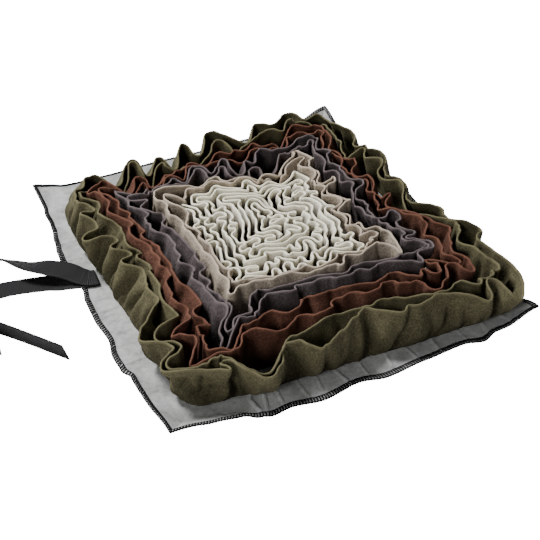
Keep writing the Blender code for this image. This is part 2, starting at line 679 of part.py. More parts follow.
def key_samples(lines, closed):
    """Samples kept as sections: where either top edge has turned or run far enough."""
    most_turn, least_run = RING_SECTIONS if closed else CREAM_SECTIONS
    kept = [0]
    headings = [np.unwrap(np.arctan2(*np.diff(np.vstack((l, l[:1])), axis=0).T[::-1])) for l in lines]
    for i in range(1, len(lines[0])):
        run = max(np.hypot(*(l[i] - l[kept[-1]])) for l in lines)
        turned = max(abs(h[i] - h[kept[-1]]) for h in headings)
        if run > SECTION_STEP or (turned > math.radians(most_turn) and run > least_run):
            kept.append(i)
    if not closed and kept[-1] != len(lines[0]) - 1:
        kept[-1] = len(lines[0]) - 1
    return np.array(kept)


def facing(edge, base, closed):
    """Thickness direction of a top edge, never more than a right angle from its seam's."""
    top_side, seam_side = outward(edge, closed), outward(base, closed)
    cosine = np.einsum("ij,ij->i", top_side, seam_side)
    turned_back = cosine < 0.05
    flat = top_side - (cosine - 0.05)[:, None] * seam_side
    return np.where(turned_back[:, None], unit(flat), top_side)


def ruffle(name, base, outer, inner, closed, width, colour):
    """A strip sewn down its middle: outer wall, sewn foot and inner wall in one closed solid."""
    kept = key_samples((outer, inner), closed)
    base, outer, inner = base[kept], outer[kept], inner[kept]
    seam_side = outward(base, closed)
    floor = FELT + STITCH_GAP
    half = FLEECE / 2

    def rail(plan, height):
        return np.column_stack((plan, np.broadcast_to(height, len(plan))))

    def wall(edge, side):
        """Foot, top and valley points of one wall, from its outside to the valley."""
        thick = facing(edge, base, closed) * side * half
        foot = base + seam_side * side * (FOOT - half)
        high = floor + wall_height(np.hypot(*(edge - foot).T), width)
        return (rail(foot + seam_side * side * half, floor), rail(edge + thick, high),
                rail(edge - thick, high), rail(foot - seam_side * side * half, floor + FLEECE))

    rails = wall(outer, 1) + wall(inner, -1)[::-1]
    sections = np.stack(rails, axis=1)
    return add_object(name, sections.reshape(-1, 3), skin(sections, closed), colour, 0.95)


def backing():
    """A felt sheet, flat in the middle, its margin waved and its corners curled up."""
    rings = [margin_ring(share, RIM_POINTS) for share in (1.0, 0.55, 0.0)]
    around = len(rings[0])
    under = np.vstack(rings)
    over = under + (0, 0, FELT)
    lift = len(under)
    last = lift - around
    faces = [tuple(reversed(range(last, lift))), tuple(range(last + lift, 2 * lift))]
    for k in range(around):
        n = (k + 1) % around
        faces.append((k, n, n + lift, k + lift))
        for r in range(0, last, around):
            a, b, c, d = r + k, r + n, r + around + n, r + around + k
            faces.append((a, d, c, b))
            faces.append((a + lift, b + lift, c + lift, d + lift))
    return add_object("backing", np.vstack((under, over)), faces, FELT_COLOUR, 0.9)


def smooth_route(rows, step):
    """Catmull-Rom through the rows, read at an even step."""
    rows = np.array(rows, float)
    ends = np.vstack((2 * rows[0] - rows[1], rows, 2 * rows[-1] - rows[-2]))
    line = []
    for a, b, c, d in zip(ends[:-3], ends[1:-2], ends[2:-1], ends[3:]):
        for t in np.linspace(0, 1, 12, endpoint=False):
            line.append(0.5 * (2 * b + (c - a) * t + (2 * a - 5 * b + 4 * c - d) * t**2
                               + (3 * b - a - 3 * c + d) * t**3))
    line.append(rows[-1])
    line = np.array(line)
    arc = arc_lengths(line[:, :2])
    return read_at(line, arc, np.linspace(0, arc[-1], int(round(arc[-1] / step)) + 1))


def webbing(rows):
    """Sections of a flat band along a route whose rows give its lower edge's lift and its roll."""
    line = smooth_route(rows, TIE_STEP)
    across = outward(line[:, :2], False)
    sections = []
    for (x, y, lift, roll), side in zip(line, across):
        a = math.radians(roll)
        wide = np.array([side[0] * math.cos(a), side[1] * math.cos(a), math.sin(a)]) * TIE_WIDTH / 2
        thick = np.array([-side[0] * math.sin(a), -side[1] * math.sin(a), math.cos(a)]) * TIE_THICK / 2
        middle = np.array([x, y, lift + abs(wide[2]) + abs(thick[2])])
        sections.append([middle - wide - thick, middle + wide - thick,
                         middle + wide + thick, middle - wide + thick])
    return sections


def tie():
    """One length of webbing, folded at its middle where it is sewn down, two free ends."""
    upper = webbing(TIE_ROUTE)
    # the second run goes back under the first, so its top and bottom change places
    lower = [[s[2], s[3], s[0], s[1]] for s in webbing(TIE_RETURN)]
    inside = 0.5 * (np.array(upper[-1][:2]) + np.array(lower[0][:2])) + (0.4, 0, 0)
    bend = [inside[0], inside[1], inside[1] + (TIE_THICK, 0, 0), inside[0] + (TIE_THICK, 0, 0)]
    sections = np.array(upper + [bend] + lower)
    return add_object("tie", sections.reshape(-1, 3), skin(sections, False), TIE_COLOUR, 0.6)


def build():
    for thing in list(bpy.data.objects):
        bpy.data.objects.remove(thing, do_unlink=True)
    walls, plans = [], []
    for number, (name, half_x, front, back, corner, width, crest, colour) in enumerate(RINGS):
        base, outer, inner = ring_walls(name, half_x, front, back, corner, crest)
        pair = (Wall(number, True, base, outer, 1, width, CLEARANCE),
                Wall(number, True, base, inner, -1, width, CLEARANCE))
        walls += pair
        plans.append((name, base, pair, True, width, colour))
    base, outer, inner = cream_walls()
    pair = (Wall(len(RINGS), False, base, outer, 1, CREAM_WALL, CREAM_CLEARANCE),
            Wall(len(RINGS), False, base, inner, -1, CREAM_WALL, CREAM_CLEARANCE))
    walls += pair
    plans.append(("cream", base, pair, False, CREAM_WALL, CREAM_COLOUR))
    settle(walls)
    backing()
    for name, base, (outer, inner), closed, width, colour in plans:
        ruffle("ruffle_" + name, base, outer.top, inner.top, closed, width, colour)
    tie()


build()
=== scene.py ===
"""Looks of the snuffle mat: fleece ruffles, felt backing and webbing tie in their finish; the fleece has
painted shade and painted highlights.

The ruffles are settled again here from the same table of folds as the solids, then made finer.
Sizes are in millimetres and become metres when a mesh is made.
"""
import math
from collections import namedtuple

import bmesh
import bpy
import numpy as np
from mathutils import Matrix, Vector


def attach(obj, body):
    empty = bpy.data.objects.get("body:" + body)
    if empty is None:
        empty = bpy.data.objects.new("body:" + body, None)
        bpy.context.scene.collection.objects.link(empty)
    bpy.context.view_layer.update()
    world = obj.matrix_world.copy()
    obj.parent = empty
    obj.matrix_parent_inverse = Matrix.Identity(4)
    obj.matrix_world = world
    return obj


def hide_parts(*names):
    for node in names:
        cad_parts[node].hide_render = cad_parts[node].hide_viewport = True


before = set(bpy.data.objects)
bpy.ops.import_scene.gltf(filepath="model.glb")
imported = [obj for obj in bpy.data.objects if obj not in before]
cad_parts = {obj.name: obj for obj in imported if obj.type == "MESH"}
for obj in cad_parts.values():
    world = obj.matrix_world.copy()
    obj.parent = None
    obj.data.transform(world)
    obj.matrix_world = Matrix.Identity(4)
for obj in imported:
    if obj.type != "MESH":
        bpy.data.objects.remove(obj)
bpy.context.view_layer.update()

MM = 0.001

# ---- camera and light ----
CAMERA_AT = (-0.3858, -0.8200, 0.6777)
LOOKS_AT = (-0.0092, -0.0358, 0.0)
LENS = 67.1

# One row per soft box: name, place, size in metres, power in watts, what it points at
SOFT_BOXES = (
    ("key", (-0.66, 0.78, 1.55), 0.5, 68.0, (0.0, 0.0, 0.0)),
    ("front", (-1.28, -0.95, 0.85), 0.5, 15.0, (0.0, 0.0, 0.02)),
    ("side", (1.50, -0.30, 0.90), 1.2, 0.6, (0.0, 0.0, 0.02)),
)
SKY = (0.92, 0.94, 0.96)
SKY_STRENGTH = 0.13
FLOOR_COLOUR = (0.86, 0.86, 0.86)
FLOOR_AT = -0.0003  # just under the mat
FLOOR_HALF = 4.0
FLOOR_GLOW = 16.0  # how much whiter the floor and sky look than they light

# ---- colours ----
COLOURS = {
    "olive": (0.074, 0.067, 0.037),
    "rust": (0.080, 0.036, 0.024),
    "plum": (0.062, 0.050, 0.051),
    "taupe": (0.28, 0.235, 0.185),
    "cream": (0.83, 0.755, 0.595),
    "felt": (0.33, 0.335, 0.325),
}
THREAD_COLOUR = (0.006, 0.006, 0.0065)
TIE_THREAD_COLOUR = (0.05, 0.05, 0.052)

# ---- backing ----
MAT_X, MAT_Y = 400.0, 460.0
FELT = 2.0  # thickness
FLAT_X, FLAT_Y = 181.0, 208.0  # half sizes of the part that lies flat, under the ruffles
RIM_WAVE = 1.0  # how far the margin's edge waves up
# Lengths over 2 pi and phases of its waves, in x and in y
RIM_LENGTHS, RIM_PHASES = (19.0, 23.0), (0.8, 0.3)

# One row per corner: x side, y side, how far it curls up, how far the curl reaches
CORNER_CURL = (
    (-1, -1, 18.0, 48.0), (1, -1, 17.0, 27.0), (1, 1, 19.0, 34.0), (-1, 1, 6.0, 34.0),
)

# One row per bend of the sheet's edge: place along it, how far it bows out, how far it lifts
MARGIN = {
    "front": (
        (-200, 0.0, 0.0), (-168, 0.0, 2.0), (-145, 0.0, 5.0), (-129, 0.5, 5.5), (-113, 2.5, 0.8),
        (-101, 5.0, 0.3), (-83, 3.0, 0.8), (-50, 8.0, 0.3), (-8, 2.0, 1.2), (20, 6.5, 0.3), (65, 3.0, 0.6),
        (112, 0.0, 1.2), (134, 4.0, 0.3), (152, -1.5, 1.0), (170, 0.0, 0.8), (200, 0.0, 0.0),
    ),
    "right": (
        (-230, 0.0, 0.0), (-190, 1.0, 1.0), (-140, 4.0, 0.4), (-80, 6.0, 1.2), (-20, 3.0, 0.4),
        (40, 6.0, 0.9), (110, 3.0, 0.4), (230, 0.0, 0.0),
    ),
    "back": (
        (-200, 0.0, 0.0), (-184, -6.0, 0.4), (-166, -11.0, 0.4), (-120, -9.0, 0.8), (-40, -6.0, 0.4),
        (40, -6.0, 0.6), (120, -4.0, 0.4), (200, 0.0, 0.0),
    ),
    "left": (
        (-230, 0.0, 0.0), (-175, 2.0, 0.6), (-132, 3.0, 1.4), (-119, 8.0, 0.4), (-97, 9.0, 0.4),
        (-72, 5.0, 1.2), (-36, 8.0, 0.3), (-4, 7.5, 0.3), (17, 4.0, 0.2), (46, 4.5, 0.2), (73, 11.0, 0.3),
        (92, 10.0, 0.3), (112, 7.0, 0.6), (138, 3.0, 1.2), (152, 1.5, 0.4), (168, 2.0, 0.8),
        (186, -0.5, 0.4), (230, 0.0, 0.0),
    ),
}

# ---- ruffles ----
FLEECE = 2.4  # thickness
STITCH_GAP = 0.3  # clearance between pieces sewn face to face
FOOT = 4.6  # half width of a ruffle where it is sewn down
LEAST_HEIGHT = 0.55  # a fold that leans far out still stands this share of its wall
CLEARANCE = 5.2  # least distance between the middles of two walls
SAMPLE = 3.0  # spacing of the points that the folds are settled on

# One row per ring: name, half width of its sewn line, its front, its back, corner radius,
# width of a wall, radius of a fold's crest
RINGS = (
    ("olive", 177.0, -204.0, 181.0, 30.0, 50.0, 8.5),
    ("rust", 149.0, -173.0, 152.0, 30.0, 50.5, 6.5),
    ("plum", 120.0, -143.0, 123.0, 30.0, 51.0, 6.0),
    ("taupe", 91.0, -113.0, 95.0, 22.0, 51.0, 6.5),
)

# Crests of the folds along each wall's top edge: x and y, anticlockwise from the front left
# corner, one pair per fold
CRESTS = {
    "olive_outer": (
        (-189, -179), (-156, -198), (-133, -213), (-135, -192), (-101, -231), (-69, -201), (-42, -220),
        (18, -191), (50, -210), (100, -201), (140, -228), (153, -203), (173, -236), (193, -195),
        (183, -144), (202, -122), (175, -98), (182, -70), (158, -50), (172, -3), (161, 10), (183, 51),
        (164, 84), (176, 112), (166, 136), (158, 170), (138, 166), (122, 190), (96, 172), (72, 179),
        (49, 155), (15, 187), (-12, 155), (-26, 176), (-50, 143), (-61, 167), (-80, 146), (-93, 171),
        (-120, 146), (-148, 163), (-178, 115), (-163, 92), (-182, 81), (-170, 58), (-194, 38), (-157, 27),
        (-173, 12), (-153, -2), (-170, -15), (-151, -36), (-161, -63), (-154, -85), (-192, -133),
        (-167, -161),
    ),
    "olive_inner": (
        (-182, -178), (-158, -193), (-138, -186), (-101, -224), (-65, -196), (0, -179), (25, -184),
        (46, -180), (103, -203), (124, -191), (139, -203), (157, -196), (176, -190), (163, -132),
        (181, -108), (146, -60), (170, -12), (154, 16), (173, 38), (159, 55), (168, 74), (139, 68),
        (152, 105), (152, 146), (116, 170), (101, 154), (87, 164), (45, 149), (30, 142), (19, 166),
        (-22, 134), (-62, 153), (-80, 133), (-93, 162), (-113, 131), (-138, 147), (-170, 122), (-152, 105),
        (-161, 80), (-146, 50), (-150, 20), (-139, 0), (-148, -7), (-133, -30), (-144, -34), (-142, -60),
        (-150, -92), (-142, -114), (-178, -140), (-159, -163),
    ),
    "rust_outer": (
        (-162, -187), (-122, -193), (-98, -170), (-70, -186), (-45, -171), (-25, -183), (8, -162),
        (45, -169), (60, -165), (78, -171), (103, -194), (130, -168), (155, -182), (148, -145),
        (171, -110), (140, -68), (132, -40), (148, -25), (128, -28), (144, 12), (128, 20), (146, 62),
        (134, 95), (148, 120), (146, 138), (123, 152), (104, 147), (87, 120), (76, 137), (62, 128),
        (50, 141), (21, 137), (-6, 138), (-20, 130), (-37, 138), (-58, 124), (-70, 133), (-86, 111),
        (-97, 138), (-118, 112), (-129, 138), (-160, 124), (-148, 95), (-152, 80), (-138, 48), (-146, 18),
        (-134, 0), (-138, -30), (-131, -55), (-146, -75), (-143, -100), (-137, -126), (-164, -145),
        (-143, -155),
    ),
    "rust_inner": (
        (-142, -172), (-120, -187), (-103, -163), (-66, -146), (-50, -163), (-20, -139), (26, -147),
        (50, -153), (80, -151), (95, -172), (102, -160), (116, -172), (120, -140), (138, -165),
        (127, -120), (150, -93), (137, -63), (122, -35), (135, -20), (124, -12), (134, 10), (120, 40),
        (130, 70), (124, 100), (138, 128), (121, 132), (96, 138), (80, 118), (66, 127), (44, 128),
        (24, 114), (6, 127), (-14, 124), (-32, 129), (-50, 112), (-66, 122), (-80, 108), (-97, 121),
        (-112, 108), (-126, 125), (-145, 118), (-138, 92), (-134, 68), (-128, 42), (-130, 15), (-124, -8),
        (-122, -40), (-127, -58), (-118, -78), (-115, -105), (-134, -124), (-121, -142), (-139, -145),
        (-136, -158),
    ),
    "plum_outer": (
        (-123, -171), (-101, -152), (-74, -155), (-60, -127), (-27, -137), (-22, -124), (12, -134),
        (46, -138), (64, -133), (90, -141), (110, -152), (116, -135), (138, -135), (144, -120),
        (112, -115), (128, -103), (114, -90), (140, -62), (110, -62), (109, -35), (112, -12), (132, 8),
        (118, 22), (126, 44), (116, 60), (126, 80), (118, 95), (128, 122), (104, 122), (62, 118),
        (52, 126), (42, 108), (28, 110), (14, 93), (0, 122), (-14, 100), (-30, 128), (-46, 103),
        (-54, 116), (-70, 104), (-82, 114), (-96, 102), (-104, 112), (-122, 100), (-134, 110), (-126, 88),
        (-128, 70), (-113, 50), (-126, 38), (-114, 12), (-108, -15), (-115, -38), (-108, -60), (-114, -78),
        (-108, -100), (-99, -122), (-106, -145),
    ),
    "plum_inner": (
        (-112, -160), (-98, -148), (-80, -143), (-70, -118), (-50, -116), (-20, -118), (10, -124),
        (30, -131), (44, -122), (75, -128), (98, -134), (128, -128), (130, -115), (114, -108), (120, -96),
        (112, -80), (102, -56), (100, -30), (104, -8), (116, 8), (103, 20), (112, 38), (98, 46), (112, 66),
        (106, 86), (118, 114), (100, 100), (70, 100), (48, 80), (34, 94), (20, 86), (4, 88), (-6, 108),
        (-22, 92), (-34, 116), (-52, 96), (-68, 100), (-84, 100), (-100, 92), (-112, 92), (-124, 98),
        (-106, 80), (-118, 66), (-98, 44), (-104, 22), (-94, 5), (-92, -30), (-91, -56), (-104, -66),
        (-96, -80), (-106, -94), (-96, -108), (-98, -130),
    ),
    "taupe_outer": (
        (-92, -114), (-60, -100), (-40, -113), (-20, -108), (-6, -118), (10, -116), (28, -113), (34, -124),
        (48, -104), (63, -112), (88, -100), (100, -125), (103, -82), (82, -74), (86, -62), (72, -60),
        (82, -46), (70, -32), (96, -20), (82, 8), (106, 26), (80, 28), (92, 45), (84, 58), (100, 76),
        (92, 106), (75, 80), (62, 78), (52, 60), (34, 74), (24, 62), (12, 78), (-14, 68), (-22, 94),
        (-42, 78), (-62, 91), (-80, 97), (-98, 78), (-90, 60), (-96, 40), (-86, 12), (-92, -2), (-83, -25),
        (-88, -40), (-80, -58), (-86, -78), (-80, -92), (-90, -102),
    ),
    "taupe_inner": (
        (-70, -98), (-52, -86), (-36, -102), (-20, -96), (0, -98), (12, -108), (28, -104), (40, -96),
        (52, -96), (64, -104), (78, -94), (92, -84), (66, -80), (76, -70), (64, -55), (72, -42), (62, -22),
        (84, -20), (66, 4), (74, 14), (70, 40), (86, 52), (72, 66), (84, 92), (66, 70), (56, 70), (46, 50),
        (32, 62), (26, 52), (12, 66), (-2, 58), (-22, 80), (-40, 66), (-52, 78), (-68, 62), (-76, 84),
        (-86, 62), (-68, 40), (-74, 18), (-66, -2), (-72, -22), (-60, -40), (-70, -58), (-64, -74),
        (-76, -86),
    ),
}

# The cream centre: corners of its spiral seam (x, y), from the outer end inwards
CREAM_SEAM = (
    (-60, 52), (-60, -84), (60, -84), (60, 74), (-40, 74), (-40, -64), (40, -64), (40, 54),
    (-20, 54), (-20, -44), (20, -44), (20, 34), (0, 34), (0, -24),
)
CREAM_CORNER = 9.5
CREAM_WALL = 47.0  # width of a wall
CREAM_PAIR = 3.2  # half distance between its two walls before they fold
CREAM_EDGE = 2900.0  # length that each top edge grows towards
CREAM_STEP = 2.4  # spacing of the points along it
CREAM_UNEVEN = 0.45  # how unevenly it grows
CREAM_SPREAD = 7.5  # distance that its top edges keep from each other
CREAM_LEAN = (0.93, 0.86, 5.0, -19.0)  # narrowing in x and y about a seam y, and where that y goes
CREAM_CLEARANCE = 4.8
CREAM_SEED = 11

# Waves that the cream edges start to fold from: wavelength and reach
CREAM_WAVES = (
    (34.0, 1.6),
    (52.0, 1.2),
    (85.0, 0.8),
)

# Twirls that fold the cream centre's rows into each other: x, y, radius, turn in degrees
TWIRLS = (
    (-42.0, -62.0, 34.0, 50.0), (38.0, -58.0, 36.0, -55.0), (4.0, -30.0, 30.0, 70.0),
    (-34.0, -6.0, 30.0, -60.0), (36.0, 2.0, 34.0, 60.0), (0.0, 26.0, 34.0, -55.0),
    (-30.0, 34.0, 26.0, 45.0), (2.0, -78.0, 28.0, -45.0),
)

# ---- webbing tie ----
TIE_WIDTH = 25.0
TIE_THICK = 1.5
# One row per bend of the webbing, from one free end to the other: x, y, lift of its lower
# edge, roll about its length in degrees (0 lies flat, 90 stands on edge); the first table ends
# at its middle fold, where the second starts
TIE_ROUTE = (
    (-307, -38, 0.2, 62), (-345, -37, 0.2, 80), (-374, -12, 0.2, 88), (-386, 38, 0.2, 90),
    (-371, 90, 0.2, 90), (-322, 114, 0.2, 80), (-274, 97, 2.0, 45), (-250, 70, 8.0, 20),
    (-232, 56, 13.0, 2), (-214, 44, 11.0, -2), (-202, 34, 7.2, 0), (-194, 29, 5.2, 0),
    (-186.5, 28, 4.4, 0),
)
TIE_RETURN = (
    (-186.5, 28, 2.5, 0), (-194, 28.5, 3.1, 0), (-202, 30, 3.8, 0), (-211, 33, 3.3, 0), (-223, 39, 1.0, 0),
    (-240, 47, 0.2, 0), (-284, 55, 0.2, 0), (-322, 57, 0.2, 25), (-346, 38, 0.2, 62), (-344, 12, 0.2, 76),
    (-322, 4, 0.2, 78), (-294, -27, 0.2, 74), (-252, -82, 0.2, 73),
)
TIE_COLOUR = (0.022, 0.022, 0.024)


def unit(v):
    return v / np.maximum(np.linalg.norm(v, axis=-1, keepdims=True), 1e-9)


def outward(line, closed):
    """Unit normals of a plan line, to the right of its direction."""
    if closed:
        run = np.roll(line, -1, 0) - np.roll(line, 1, 0)
    else:
        run = np.gradient(line, axis=0)
    run = unit(run)
    return np.stack([run[:, 1], -run[:, 0]], axis=1)


def arc_lengths(line):
    return np.concatenate(([0.0], np.cumsum(np.hypot(*np.diff(line, axis=0).T))))


def read_at(line, at, where):
    """Points of a line whose vertices lie at the places `at`, read at the places `where`."""
    return np.stack([np.interp(where, at, line[:, k]) for k in range(line.shape[1])], axis=1)


def even(line, step):
    arc = arc_lengths(line)
    return read_at(line, arc, np.linspace(0, arc[-1], int(round(arc[-1] / step)) + 1))


# ---- seams and top edges ----
SEAM_STEP = 0.5
FULLEST = 1.1  # widest a fold may swing, for its distance to the next
LEAST_FOLD = 7.0  # least distance between two crests along the seam
LEAST_DEPTH = 4.0  # least depth that a crest is rounded for
MOST_SHOULDER = 30.0  # longest tangent of a shoulder between two crests
PER_FOLD = 40  # points from one crest to the next
CORNER_POINTS, TURN_POINTS = 24, 10  # points on a seam's corner, in a ring and in the spiral
ORDER_PASSES = 200
HALF_APART = 0.507  # half of the least distance between two crests, and a little more
DRIFT, DRIFT_LENGTH = 2.0, 90.0  # how a cream wave's phase drifts, its length over 2 pi


def ring_seam(half_x, front, back, corner):
    """Rounded rectangle, anticlockwise from the end of the left side."""
    line = []
    centres = ((-half_x + corner, front + corner), (half_x - corner, front + corner),
               (half_x - corner, back - corner), (-half_x + corner, back - corner))
    for quarter, (x, y) in enumerate(centres):
        for turn in np.linspace(0, math.pi / 2, CORNER_POINTS):
            a = math.pi + quarter * math.pi / 2 + turn
            line.append((x + corner * math.cos(a), y + corner * math.sin(a)))
    line.append(line[0])
    return even(np.array(line), SEAM_STEP)


def spiral_seam():
    points = np.array(CREAM_SEAM, float)
    line = [points[0]]
    for a, b, c in zip(points[:-2], points[1:-1], points[2:]):
        to_a, to_c = (a - b) / np.linalg.norm(a - b), (c - b) / np.linalg.norm(c - b)
        for t in np.linspace(0, 1, TURN_POINTS):
            p = b + to_a * CREAM_CORNER * (1 - t)
            q = b + to_c * CREAM_CORNER * t
            line.append(p * (1 - t) + q * t)
    line.append(points[-1])
    return even(np.array(line), SEAM_STEP)


def hermite(p0, p1, t0, t1, count):
    u = np.linspace(0, 1, count, endpoint=False)[:, None]
    return ((2 * u**3 - 3 * u**2 + 1) * p0 + (u**3 - 2 * u**2 + u) * t0
            + (3 * u**2 - 2 * u**3) * p1 + (u**3 - u**2) * t1)


def in_order(places, total):
    """Moves the places along a loop apart until they are in order."""
    ring = np.concatenate((places - total, places, places + total))
    for _ in range(ORDER_PASSES):
        for a in range(len(ring) - 1):
            if ring[a + 1] - ring[a] < LEAST_FOLD:
                middle = (ring[a] + ring[a + 1]) / 2
                ring[a] = middle - LEAST_FOLD * HALF_APART
                ring[a + 1] = middle + LEAST_FOLD * HALF_APART
    return ring[len(places):2 * len(places)]


def ring_edge(crests, seam, crest_radius):
    """Top edge through the crests of its folds; also each point's place along the seam."""
    line = seam[:-1]
    total = SEAM_STEP * len(line)
    out = outward(line, True)
    crests = np.array(crests, float)
    nearest = np.array([np.argmin(np.hypot(*(line - c).T)) for c in crests])
    place = nearest * SEAM_STEP
    for i in range(1, len(place)):
        while place[i] < place[i - 1] - total / 2:
            place[i:] += total
        while place[i] > place[i - 1] + total / 2:
            place[i:] -= total
    place = in_order(place, total)
    reach = np.einsum("ij,ij->i", crests - line[nearest], out[nearest])
    along = np.stack([-out[nearest][:, 1], out[nearest][:, 0]], axis=1)
    tangents = np.zeros_like(crests)
    for i in range(len(crests)):
        after = (i + 1) % len(crests)
        rise, fall = reach[i] - reach[i - 1], reach[after] - reach[i]
        if rise * fall > 0:  # a shoulder on the way to the next crest
            tangents[i] = 0.5 * (crests[after] - crests[i - 1])
            tangents[i] *= min(1.0, MOST_SHOULDER / max(np.linalg.norm(tangents[i]), 1e-6))
        else:
            depth = max(0.5 * (abs(rise) + abs(fall)), LEAST_DEPTH)
            near = min(math.dist(crests[i], crests[i - 1]), math.dist(crests[i], crests[after]))
            tangents[i] = along[i] * min(math.sqrt(6 * crest_radius * depth), FULLEST * near)
    points, places = [], []
    for i in range(len(crests)):
        j = (i + 1) % len(crests)
        points.append(hermite(crests[i], crests[j], tangents[i], tangents[j], PER_FOLD))
        end = place[j] if j else place[0] + total
        places.append(place[i] + (end - place[i]) * np.arange(PER_FOLD) / PER_FOLD)
    points, places = np.vstack(points), np.concatenate(places) % total
    order = np.argsort(places, kind="stable")
    points, places = points[order], places[order]
    return np.vstack([points] * 3), np.concatenate((places - total, places, places + total))


def ring_walls(name, half_x, front, back, corner, crest_radius):
    """Seam, outer top edge and inner top edge of a ring, sampled at the same places."""
    seam = ring_seam(half_x, front, back, corner)
    total = SEAM_STEP * (len(seam) - 1)
    grid = np.arange(0, total, SEAM_STEP)
    outer = ring_edge(CRESTS[name + "_outer"], seam, crest_radius)
    inner = ring_edge(CRESTS[name + "_inner"], seam, crest_radius)
    speed = np.full(len(grid), SEAM_STEP)
    for line, places in (outer, inner):
        at = read_at(line, places, grid)
        speed = np.maximum(speed, np.hypot(*(np.roll(at, -1, 0) - at).T))
    run = np.concatenate(([0.0], np.cumsum(speed)))
    count = int(round(run[-1] / SAMPLE))
    where = np.interp(np.linspace(0, run[-1], count, endpoint=False), run, np.append(grid, total))
    base = read_at(seam, np.arange(len(seam)) * SEAM_STEP, where)
    return base, read_at(*outer, where), read_at(*inner, where)


def twirl(points, share):
    """Turns the points a share of the way round the twirls near them."""
    for x, y, radius, turn in TWIRLS:
        d = points - (x, y)
        far = np.hypot(d[:, 0], d[:, 1]) / radius
        a = share * math.radians(turn) * np.clip(1 - far**2, 0, None) ** 2
        points = np.stack([x + d[:, 0] * np.cos(a) - d[:, 1] * np.sin(a),
                           y + d[:, 0] * np.sin(a) + d[:, 1] * np.cos(a)], axis=1)
    return points


def smooth_rows(rows, passes):
    for _ in range(passes):
        rows[1:-1] = 0.25 * rows[:-2] + 0.5 * rows[1:-1] + 0.25 * rows[2:]
    return rows


def cream_walls():
    """Seam, outer and inner top edge of the spiral centre, before its edges grow into folds."""
    seam = spiral_seam()
    where = np.linspace(0, SEAM_STEP * (len(seam) - 1), int(round(CREAM_EDGE / CREAM_STEP)))
    base = read_at(seam, np.arange(len(seam)) * SEAM_STEP, where)
    x_scale, y_scale, y_seam, y_top = CREAM_LEAN
    middle = np.stack([base[:, 0] * x_scale, y_top + (base[:, 1] + y_seam) * y_scale], axis=1)
    middle = twirl(middle, 1.0)
    side = smooth_rows(outward(middle, False), 6)
    rng = np.random.default_rng(CREAM_SEED)
    run = np.arange(len(base)) * CREAM_STEP
    edges = []
    for half in (CREAM_PAIR, -CREAM_PAIR):
        reach = np.full(len(base), half)
        for wave, share in CREAM_WAVES:
            drift = DRIFT * np.sin(run / DRIFT_LENGTH + rng.uniform(0, 2 * math.pi))
            reach += share * np.sin(2 * math.pi * run / wave + rng.uniform(0, 2 * math.pi) + drift)
        edges.append(middle + side * reach[:, None])
    return base, edges[0], edges[1]


# ---- settling the walls against each other ----
# Heights at which the walls are kept apart, the first above them all
LEVELS = (90.0, 52.0, 45.0, 39.0, 33.0, 27.0, 20.0, 14.0, 7.0)
SETTLE_STEPS = 440
RELEASE = 40  # steps at the end in which the walls are let go
PULL, SMOOTH, PUSH = 0.12, 0.30, 0.45
REACH = 9.0
RING_BEND, CREAM_BEND = 0.04, 0.06  # how strongly an edge straightens
STRETCH = 0.35  # how strongly a cream edge grows
LED = 100  # steps in which the cream edges are led out along their seam
DRAWN_BY, GROWN_BY = 0.72, 0.8  # shares of the steps by which edges are drawn out, and grown
MOST_LED, MOST_FREE = 0.30, 0.012  # most that an edge is drawn in a step, led and set free
UNEVEN_WAVES = (62.0, 23.0)  # lengths over which a cream edge's growth varies, over 2 pi
UNEVEN_PHASE = 1.7
SEAM_CLEARANCE = 0.62  # share of its clearance that a strip's own two walls keep at the seam
STRIP_CLEARANCE = 1.12  # and that walls of different strips keep
LEAST_SHARE = 0.18  # below this height of a wall, pushes there count as if at it
MOST_PUSHED = 1.2  # most that an edge is pushed in a step
PAIR_STEPS = 8  # steps between two searches for points that are close
RING_NEXT, CREAM_NEXT = 5, 4  # points of one edge this near each other along it don't push
SWIRL = (150, 400)  # steps in which they are swirled
SWIRL_TURNS = 1.5  # how many times over


class Wall:
    """One wall of a ruffle: its foot line, the top edge it is drawn to, and its settled edge."""

    def __init__(self, strip, closed, base, goal, side, width, clearance):
        self.strip, self.closed, self.width, self.clearance = strip, closed, width, clearance
        self.foot = base + outward(base, closed) * side * (FOOT - FLEECE / 2)
        self.goal = goal
        self.top = None


def wall_height(lean, width):
    """Height of a wall of that width whose top edge has moved `lean` sideways."""
    return np.maximum(np.sqrt(np.clip(width**2 - lean**2, 0, None)), LEAST_HEIGHT * width)


def cell_pairs(points, reach):
    """Pairs of points closer than reach, found through a grid of square cells."""
    cell = np.floor(points / reach).astype(int)
    cell -= cell.min(0) - 1
    wide = cell[:, 1].max() + 3
    key = cell[:, 0] * wide + cell[:, 1]
    order = np.argsort(key, kind="stable")
    ranked = key[order]
    first, second = [], []
    for dx, dy in ((0, 0), (0, 1), (1, -1), (1, 0), (1, 1)):
        want = key + dx * wide + dy
        low = np.searchsorted(ranked, want, "left")
        count = np.searchsorted(ranked, want, "right") - low
        i = np.repeat(np.arange(len(points)), count)
        within = np.arange(count.sum()) - np.repeat(np.cumsum(count) - count, count)
        j = order[np.repeat(low, count) + within]
        near = np.hypot(*(points[i] - points[j]).T) < reach
        if dx == 0 and dy == 0:
            near &= i < j
        first.append(i[near])
        second.append(j[near])
    return np.concatenate(first), np.concatenate(second)


